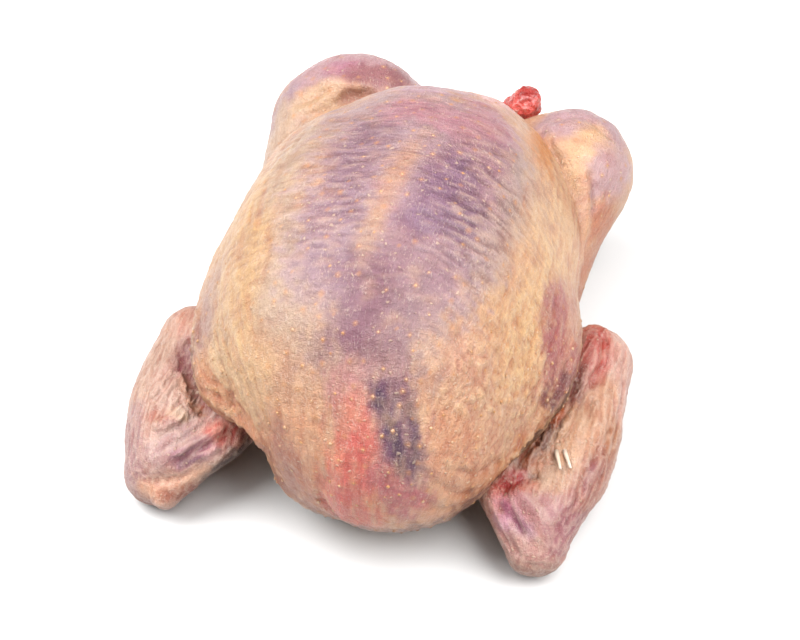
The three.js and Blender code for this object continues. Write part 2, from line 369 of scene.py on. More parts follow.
# A folded wing: its joints, its radius at the elbow and the wrist, the muscle along its forearm and the
# thick lip of its web. Then the middle of its crumpled skin, of its hand, and of a spot of painted
# light.
WINGS = {
    "left": {
        "shoulder": row(-26.3, -9, 19.4), "elbow": row(-49.6, 1.6, 16.2), "wrist": row(-50, -33, 7.4),
        "radii": (5.3, 7.4), "muscle": ((-49.4, -12.6, 12.2), (11.2, 22.6, 9.2)),
        "lip": (row(-46, -39.6, 8.0), row(-33.6, -27.6, 14.8), 3.0, 2.3), "folds": LEFT_FOLDS,
        "crumple": row(-44, -22, 21), "hand": row(-41, -33, 17), "thin": row(-35, -28, 17.5),
    },
    "right": {
        "shoulder": row(22.9, -15.1, 18.9), "elbow": row(45.4, 12.9, 15), "wrist": row(39.6, -35.8, 7.6),
        "radii": (9, 7.0), "muscle": ((43.6, -7.5, 12), (10.6, 23.4, 8.9)),
        "lip": (row(37.5, -40, 8.0), row(29.2, -30, 14.6), 3, 2.4), "folds": RIGHT_FOLDS,
        "crumple": row(38.5, -17, 21), "hand": row(36, -36, 15), "thin": row(30, -34, 15),
    },
}

# Both wings' radii along the upper arm and from shoulder to wrist, and half the size of the web.
UPPER_ARM_RADII = 9.5, 7
LEADING_EDGE_RADII = 7, 4.8
WEB_HALF = 13.5, 23, 6.2


def wing_field(p, wing):
    """A folded wing: forearm, upper arm, the web between them, its thick lip, and its folds."""
    shoulder, elbow, wrist = wing["shoulder"], wing["elbow"], wing["wrist"]
    d = melt(bone(p, elbow, wrist, *wing["radii"]), ball(p, *wing["muscle"]), 5)
    d = melt(d, bone(p, shoulder, elbow, *UPPER_ARM_RADII), 4)
    d = melt(d, bone(p, shoulder, wrist, *LEADING_EDGE_RADII), 4)
    d = melt(d, ball(p, (shoulder + elbow + wrist) / 3, WEB_HALF), 6)
    d = melt(d, bone(p, *wing["lip"]), 2.5)
    for width, depth, line in wing["folds"]:
        d += depth * crease(p, line, width)
    return -melt(-d, p[:, 2], 1.5)


# The cut ends of the drumsticks: where each stump starts, and where it ends.
SHANKS = {
    "left": (row(11.5, 78.7, 29), row(18.6, 77, 38.2)),
    "right": (row(-7, 79.5, 15), row(-17.5, 81, 13.2)),
}


def shank_field(p, ends):
    """The cut end of a drumstick: a short stump that swells into a knuckle of flesh and bone."""
    root, tip = ends
    along = (tip - root) / np.linalg.norm(tip - root)
    side = np.cross(along, row(0, 0, 1))
    side = side / np.linalg.norm(side)
    d = bone(p, root, tip - 1.5 * along, 3.2, 3.9)
    d = melt(d, ball(p, tip - 1.8 * along + 1.2 * side, (3.4, 3.2, 3.6)), 1.5)
    d = melt(d, ball(p, tip - 1.0 * along - 1.6 * side, (2.6, 2.8, 3.0)), 1.2)
    return melt(d, ball(p, tip + 1.0 * along, (1.9, 1.9, 1.9)), 1.2)


# ---------------------------------------------------------------------------
# Meshing
# ---------------------------------------------------------------------------

CORNERS = [(i, j, k) for i in (0, 1) for j in (0, 1) for k in (0, 1)]

# The field is first read on a grid this many times coarser, and then again near the surface.
COARSE = 4


def sampled(field, low, high, cell):
    """The field on a grid. Far from the surface it keeps the value of a coarser grid."""
    count = np.ceil((high - low) / cell).astype(int) + 1
    axes = [low[i] + cell * np.arange(count[i]) for i in range(3)]
    coarse_at = np.stack(np.meshgrid(*(a[::COARSE] for a in axes), indexing="ij"), -1)
    values = field(coarse_at.reshape(-1, 3)).reshape(coarse_at.shape[:3])
    for axis in range(3):
        values = np.repeat(values, COARSE, axis)
    values = values[:count[0], :count[1], :count[2]].copy()
    near = np.argwhere(np.abs(values) < 2.2 * COARSE * cell)
    places = np.stack([axes[i][near[:, i]] for i in range(3)], -1)
    values[tuple(near.T)] = np.concatenate([field(part) for part in np.array_split(places, 8)])
    return values


def wrapped(field, low, high, cell):
    """The field's surface as points and four-sided faces, with a point in each grid cell it crosses."""
    low, high = row(*low), row(*high)
    values = sampled(field, low, high, cell)
    inside = values < 0
    shape = tuple(n - 1 for n in values.shape)
    filled = sum(
        inside[i:i + shape[0], j:j + shape[1], k:k + shape[2]].astype(np.int8) for i, j, k in CORNERS)
    crossed = (filled > 0) & (filled < 8)
    cells = np.argwhere(crossed)
    number = np.full(shape, -1, np.int64)
    number[crossed] = np.arange(len(cells))
    total = np.zeros((len(cells), 3))
    hits = np.zeros(len(cells))
    for corner in CORNERS:
        here = values[tuple((cells + corner).T)]
        for axis in range(3):
            if corner[axis]:
                continue
            step = np.eye(3, dtype=int)[axis]
            there = values[tuple((cells + corner + step).T)]
            cut = (here < 0) != (there < 0)
            share = here[cut] / (here[cut] - there[cut])
            total[cut] += np.array(corner) + share[:, None] * step
            hits[cut] += 1
    points = low + cell * (cells + total / hits[:, None])
    faces = [ring(inside, number, axis) for axis in range(3)]
    return points, np.concatenate(faces)


def ring(inside, number, axis):
    """The faces round the grid edges along one axis, each joining the four cells about its edge."""
    u, v = (axis + 1) % 3, (axis + 2) % 3
    before = np.take(inside, range(inside.shape[axis] - 1), axis)
    after = np.take(inside, range(1, inside.shape[axis]), axis)
    edges = np.argwhere(before != after)
    leaving = before[tuple(edges.T)]
    turns = []
    for du, dv in ((1, 1), (0, 1), (0, 0), (1, 0)):
        cell = edges.copy()
        cell[:, u] -= du
        cell[:, v] -= dv
        turns.append(number[tuple(cell.T)])
    faces = np.stack(turns, -1)
    faces[~leaving] = faces[~leaving][:, ::-1]
    return faces


def gradient(field, p, step=0.05):
    """Which way the field rises at each point, and how fast."""
    return np.stack([field(p + step * d) - field(p - step * d) for d in np.eye(3)], -1) / (2 * step)


def drawn_in(field, p, times=2):
    """The points moved onto the field's surface."""
    for _ in range(times):
        slope = gradient(field, p)
        p = p - (field(p) / np.maximum((slope * slope).sum(-1), 0.05))[:, None] * slope
    return p


class Surface:
    """Points and faces in the bird's millimetres, with its normals and neighbours."""

    def __init__(self, points, faces):
        self.points, self.faces = points, faces
        loop = np.stack((faces, np.roll(faces, -1, 1)), -1).reshape(-1, 2)
        self.edges = np.unique(np.sort(loop, 1), axis=0)
        self.degree = np.bincount(self.edges.ravel(), minlength=len(points))
        self.renew()

    def renew(self):
        """The normals worked out again, after the points have moved."""
        corner = self.points[self.faces]
        face = np.cross(corner[:, 2] - corner[:, 0], corner[:, 3] - corner[:, 1])
        face = np.repeat(face, 4, 0)
        at = self.faces.ravel()
        total = np.stack([np.bincount(at, face[:, i], len(self.points)) for i in range(3)], -1)
        self.normals = total / np.maximum(np.linalg.norm(total, axis=1), 1e-9)[:, None]

    def spread(self, values, times):
        """The values smoothed over neighbours."""
        a, b = self.edges.T
        for _ in range(times):
            columns = values[:, None] if values.ndim == 1 else values
            mean = np.stack([
                np.bincount(a, c[b], len(c)) + np.bincount(b, c[a], len(c)) for c in columns.T], -1)
            mean = mean / self.degree[:, None]
            values = (mean[:, 0] if values.ndim == 1 else mean) * 0.5 + values * 0.5
        return values

    def raise_by(self, height):
        """Each point moved outwards by its own height."""
        self.points = self.points + height[:, None] * self.normals
        self.renew()

    def hollow(self, times, depth):
        """How deep each point lies in a hollow, from 0 on open skin to 1."""
        sunk = ((self.spread(self.points, times) - self.points) * self.normals).sum(1)
        return np.clip(self.spread(sunk, 1) / depth, 0, 1)

    def pressed(self):
        """Nothing reaches under the surface that the bird lies on."""
        self.points[:, 2] = np.maximum(self.points[:, 2], 0)
        self.renew()


# ---------------------------------------------------------------------------
# Noise and masks
# ---------------------------------------------------------------------------

def scrambled(cell, seed):
    """A number from 0 to 1 for each whole-numbered cell."""
    x, y, z = (cell[:, i].astype(np.uint32) for i in range(3))
    h = x * np.uint32(0x8DA6B343) ^ y * np.uint32(0xD8163841) ^ z * np.uint32(0xCB1AB31F)
    h ^= np.uint32(seed * 0x9E3779B1 & 0xFFFFFFFF)
    for shift, factor in ((15, 0x85EBCA6B), (13, 0xC2B2AE35), (16, 0x27D4EB2F)):
        h = (h ^ (h >> np.uint32(shift))) * np.uint32(factor)
    return (h ^ (h >> np.uint32(15))) / 2.0 ** 32


def noise(p, seed):
    """Smooth noise from about -1 to 1, with one swell to each unit."""
    base = np.floor(p).astype(np.int64)
    part = p - base
    ease = part ** 3 * (part * (part * 6 - 15) + 10)
    total = np.zeros(len(p))
    for corner in CORNERS:
        cell = base + corner
        lean = np.stack([scrambled(cell, seed * 3 + i) for i in range(3)], -1) * 2 - 1
        weight = np.where(np.array(corner, bool), ease, 1 - ease).prod(1)
        total += weight * (lean * (part - corner)).sum(1)
    return total * 1.6


def rough(p, size, seed, layers=3):
    """Noise with finer noise laid over it."""
    return sum(noise(p / size * 2 ** i, seed + i) / 2 ** i for i in range(layers))


def shift(p, size, seed):
    """A push in a random direction, up to about 1 long, that changes smoothly from place to place."""
    return np.stack([noise(p / size, seed + i) for i in range(3)], -1)


def billows(p, size, seed):
    """Puffy lumps parted by narrow furrows."""
    return 1.3 * np.abs(noise(p / size, seed)) + 0.6 * np.abs(noise(2 * p / size, seed + 1)) - 0.35


def ridges(values):
    """Noise turned into sharp crests, from 0 in the beds to 1 on the crests."""
    return 1 - np.clip(np.abs(values) * 2.2, 0, 1)


def eased(values):
    """The values held between 0 and 1, easing in and out."""
    values = np.clip(values, 0, 1)
    return values * values * (3 - 2 * values)


def window(values, low, high, soft):
    """1 between low and high, fading to 0 over soft beyond them."""
    up = np.clip((values - low) / soft + 1, 0, 1)
    down = np.clip((high - values) / soft + 1, 0, 1)
    return eased(up * down)


# How high the body's long axis lies, and about how far the skin is from it.
AXIS_HEIGHT, AXIS_RADIUS = 30, 38


def girth(p):
    """Distance round the body from the keel, in millimetres."""
    return np.arctan2(p[:, 0], p[:, 2] - AXIS_HEIGHT) * AXIS_RADIUS


# ---------------------------------------------------------------------------
# The relief of the skin
# ---------------------------------------------------------------------------

def search_tree(points):
    """A tree that finds the points near a place."""
    tree = KDTree(len(points))
    for i, at in enumerate(points):
        tree.insert(at, i)
    tree.balance()
    return tree


def follicle_sites(surface, gap, density, seed):
    """Points spread over the surface about a gap apart, fewer where density is low."""
    rng = np.random.default_rng(seed)
    order = rng.random(len(surface.points))
    cell = np.floor(surface.points / gap + rng.random(3)).astype(np.int64)
    key = cell @ np.array((1, 1000, 1000000))
    rank = np.lexsort((order, key))
    first = np.concatenate(([True], key[rank][1:] != key[rank][:-1]))
    chosen = rank[first]
    chosen = chosen[rng.random(len(chosen)) < density[chosen]]
    tree = search_tree(surface.points[chosen])
    kept = np.ones(len(chosen), bool)
    for i, at in enumerate(surface.points[chosen]):
        if kept[i]:
            for _, other, _ in tree.find_range(at, gap * 0.62):
                kept[other] = kept[other] and other <= i
    return chosen[kept]


def domes(surface, sites, radius, height):
    """A round bump at each site. Radius and height hold one value for each site."""
    tree = search_tree(surface.points[sites])
    found = [tree.find(at)[1:] for at in surface.points]
    which = np.array([f[0] for f in found])
    away = np.array([f[1] for f in found])
    share = np.clip(1 - (away / radius[which]) ** 2, 0, 1) ** 2
    return share * height[which], share


def breast_share(p):
    """1 over the taut skin of the breast, 0 off it."""
    return window(p[:, 1], -20, 60, 16) * window(p[:, 2], 50, 90, 14)


def lower_share(p):
    """1 over the thicker skin at the neck end, 0 on the breast."""
    return np.clip((34 - p[:, 1] * 0.5 - p[:, 2]) / 22 + 0.9, 0, 1) * window(p[:, 1], -60, 28, 14)


def flank_share(p):
    """1 down both sides, where the skin is drawn into long fine wrinkles."""
    return eased((np.abs(p[:, 0] - 1) - 19) / 11) * window(p[:, 1], -30, 44, 12)


def dashed_share(p):
    """1 over the right breast, where the rows break up into dark dashes, and less on the left."""
    right = eased(1.5 - np.linalg.norm((p - row(17, 7, 69)) / row(9, 19, 11), axis=1))
    left = eased(1.6 - np.linalg.norm((p - row(-14, 4, 72)) / row(9, 22, 12), axis=1))
    return np.maximum(right, 0.55 * left)


def fat_share(p):
    """1 over the pebbled fat below the right breast."""
    return eased(1.5 - np.linalg.norm((p - row(29, -22, 46)) / row(15, 22, 20), axis=1))


def body_pattern(p):
    """Rows across the breast, long wrinkles down the flanks, and lumps of fat, about -1 to 1 each."""
    wander = 0.9 * noise(p / 7, SEED + 4)
    across = np.stack((girth(p) / 4.2, (p[:, 1] + wander) / 1.25, p[:, 2] / 40), -1)
    rows = 1.35 * noise(across, SEED + 5) * breast_share(p)
    along = np.stack(((girth(p) + wander) / 1.7, p[:, 1] / 8.5, p[:, 2] / 40), -1)
    streaks = 1.3 * noise(along, SEED + 6) * flank_share(p)
    lumps = billows(p, 2.4, SEED + 8)
    return rows, streaks, lumps


def body_relief(surface, form):
    """Everything that stands up or sinks in on the body's skin, in order from broad to fine."""
    p = surface.points
    surface.raise_by(0.5 * noise(p / 17, SEED) + 0.22 * noise(p / 7, SEED + 1))
    p = surface.points
    rows, streaks, lumps = body_pattern(p)
    height = form.pucker / MM * (rows * (0.6 + 0.7 * dashed_share(p)) + 0.8 * streaks)
    low = lower_share(p)
    height += form.pebble / MM * lumps * (0.12 + 0.45 * low + 0.75 * fat_share(p))
    height += 0.12 * low * rough(p, 2.2, SEED + 10, 2)
    height += leg_folds(p)
    height += 0.7 * np.max([crease(p, line, 3.2) for line in ROLLS], axis=0) * billows(p, 2.6, SEED + 12)
    surface.raise_by(height)
    return rows, streaks, lumps


def leg_folds(p):
    """Fine slack folds in the skin over the thighs and knees."""
    share = window(p[:, 1], 50, 100, 10) * (np.abs(p[:, 0]) > 12) * (p[:, 2] < 62)
    return 0.20 * share * rough(p * row(0.7, 1.0, 1.6), 3.4, SEED + 15, 3)


def strands_along(p, axis, width, seed):
    """Long wrinkles that follow an axis, from 0 between them to 1 on their crests."""
    axis = axis / np.linalg.norm(axis)
    run = (p @ axis)[:, None]
    return ridges(noise((p - run * axis + run / 7 * axis) / width, seed))


def wing_relief(surface, wing):
    """Long wrinkles down the forearm and the lip, and crumpled skin. Returns the wrinkles."""
    surface.raise_by(0.35 * noise(surface.points / 7, SEED + 20))
    p = surface.points
    outer, inner = wing["lip"][:2]
    hand = eased(1.5 - np.linalg.norm((p - wing["hand"]) / row(9, 6, 8), axis=1))
    strands = strands_along(p, wing["wrist"] - wing["elbow"], 1.3, SEED + 21)
    strands += hand * (strands_along(p, inner - outer, 2.2, SEED + 22) - strands)
    crumpled = eased(1.5 - np.linalg.norm((p - wing["crumple"]) / row(4.5, 6, 6), axis=1))
    pleats = ridges(noise(0.6 * shift(p, 3, SEED + 25) + p / row(1.4, 3.4, 3), SEED + 26)) - 0.5
    height = 0.22 * strands - 0.1 + 0.1 * (1 - hand) * rough(p, 1.6, SEED + 24, 2)
    surface.raise_by(height + 0.7 * crumpled * pleats)
    surface.pressed()
    return strands


# ---------------------------------------------------------------------------
# Putting a surface into the scene
# ---------------------------------------------------------------------------

def new_object(name, mesh):
    piece = bpy.data.objects.new(name, mesh)
    bpy.context.scene.collection.objects.link(piece)
    return piece


def placed(name, surface, tint, marks):
    """A mesh piece made from a surface, with a colour and some named values for each point."""
    mesh = bpy.data.meshes.new(name)
    mesh.vertices.add(len(surface.points))
    mesh.vertices.foreach_set("co", to_row(surface.points).astype(np.float32).ravel())
    mesh.loops.add(surface.faces.size)
    mesh.loops.foreach_set("vertex_index", surface.faces.astype(np.int32).ravel())
    mesh.polygons.add(len(surface.faces))
    mesh.polygons.foreach_set("loop_start", np.arange(0, surface.faces.size, 4, dtype=np.int32))
    mesh.update(calc_edges=True)
    mesh.validate()
    mesh.shade_smooth()
    layer = mesh.attributes.new("tint", "FLOAT_COLOR", "POINT")
    opaque = np.column_stack((tint, np.ones(len(tint))))
    layer.data.foreach_set("color", opaque.astype(np.float32).ravel())
    for mark, values in marks.items():
        layer = mesh.attributes.new(mark, "FLOAT", "POINT")
        layer.data.foreach_set("value", values.astype(np.float32))
    return new_object(name, mesh)


def finished(piece, material, stands_for=None):
    """The piece rides on the bird's only body, and takes the finish that it is given."""
    piece.data.materials.clear()
    piece.data.materials.append(material)
    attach(piece, "root")
    if stands_for:
        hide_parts(stands_for)


# ---------------------------------------------------------------------------
# Shader maths
# ---------------------------------------------------------------------------

class Wire:
    """A value in a material, whose arithmetic adds Math nodes."""

    def __init__(self, board, socket):
        self.board, self.socket = board, socket

    def __add__(self, other):
        return self.board.math("ADD", self, other)

    def __sub__(self, other):
        return self.board.math("SUBTRACT", self, other)

    def __mul__(self, other):
        return self.board.math("MULTIPLY", self, other)

    def __truediv__(self, other):
        return self.board.math("DIVIDE", self, other)


class Board:
    """The nodes of one material."""

    def __init__(self, name):
        self.material = bpy.data.materials.new(name)
        self.material.use_nodes = True
        self.tree = self.material.node_tree
        self.tree.nodes.clear()

    def node(self, kind, settings=None, values=None, out=0):
        """Adds a node, sets its settings, then its sockets, and returns one output."""
        made = self.tree.nodes.new(kind)
        for name, value in (settings or {}).items():
            setattr(made, name, value)
        for key, value in (values or {}).items():
            self.feed(self.socket(made.inputs, key), value)
        return Wire(self, self.socket(made.outputs, out))

    @staticmethod
    def socket(sockets, key):
        if isinstance(key, int):
            return sockets[key]
        exact = [s for s in sockets if s.identifier == key]
        return exact[0] if exact else sockets[key]

    def feed(self, socket, value):
        if isinstance(value, Wire):
            self.tree.links.new(value.socket, socket)
        elif socket.type == "RGBA" and len(value) == 3:
            socket.default_value = (*value, 1.0)
        else:
            socket.default_value = value

    def math(self, operation, *values):
        return self.node("ShaderNodeMath", {"operation": operation}, dict(enumerate(values)))

    def vector(self, operation, *values):
        settings = {"operation": operation}
        return self.node("ShaderNodeVectorMath", settings, dict(enumerate(values)), "Vector")

    def joined(self, x, y, z):
        return self.node("ShaderNodeCombineXYZ", None, {0: x, 1: y, 2: z})

    def parts(self, vector):
        return [self.node("ShaderNodeSeparateXYZ", None, {0: vector}, i) for i in range(3)]

    def ramp(self, value, low, high, to_low=0.0, to_high=1.0):
        """The value eased from low to high onto the range between to_low and to_high."""
        return self.node(
            "ShaderNodeMapRange", {"interpolation_type": "SMOOTHSTEP"},
            {"Value": value, "From Min": low, "From Max": high, "To Min": to_low, "To Max": to_high})

    def mix(self, share, a, b, blend="MIX"):
        return self.node(
            "ShaderNodeMix", {"data_type": "RGBA", "blend_type": blend, "clamp_factor": True},
            {"Factor_Float": share, "A_Color": a, "B_Color": b}, "Result_Color")

    def mark(self, name, out="Fac"):
        return self.node("ShaderNodeAttribute", {"attribute_name": name}, None, out)

    def grain(self, at, scale, detail=2.0, roughness=0.5, out="Fac"):
        return self.node(
            "ShaderNodeTexNoise", None,
            {"Vector": at, "Scale": scale, "Detail": detail, "Roughness": roughness}, out)

    def place(self):
        """Where a point of the bird lies, in its own millimetres."""
        spot = self.node("ShaderNodeTexCoord", None, None, "Object")
        start = tuple(ORIGIN - MIDDLE * MM)
        return self.vector("DIVIDE", self.vector("SUBTRACT", spot, start), (MM, MM, MM))

    def ragged(self, place, *waves):
        """The place pushed about by noise. Each wave is a size and a reach in millimetres."""
        for size, reach in waves:
            push = self.vector("SUBTRACT", self.grain(place, 1 / size, 1.0, 0.5, "Color"), (0.5,) * 3)
            place = self.vector("ADD", place, self.vector("MULTIPLY", push, (reach,) * 3))
        return place

    def bump(self, height):
        values = {"Height": height, "Distance": BUMP_HEIGHT, "Strength": 1.0}
        return self.node("ShaderNodeBump", None, values, "Normal")

    def shade(self, fixed, changing):
        """The one shader: fixed values set on its sockets, and changing ones wired to them."""
        shader = self.node("ShaderNodeBsdfPrincipled", None, {**fixed, **changing})
        output = self.tree.nodes.new("ShaderNodeOutputMaterial")
        self.tree.links.new(shader.socket, output.inputs["Surface"])
        return self.material


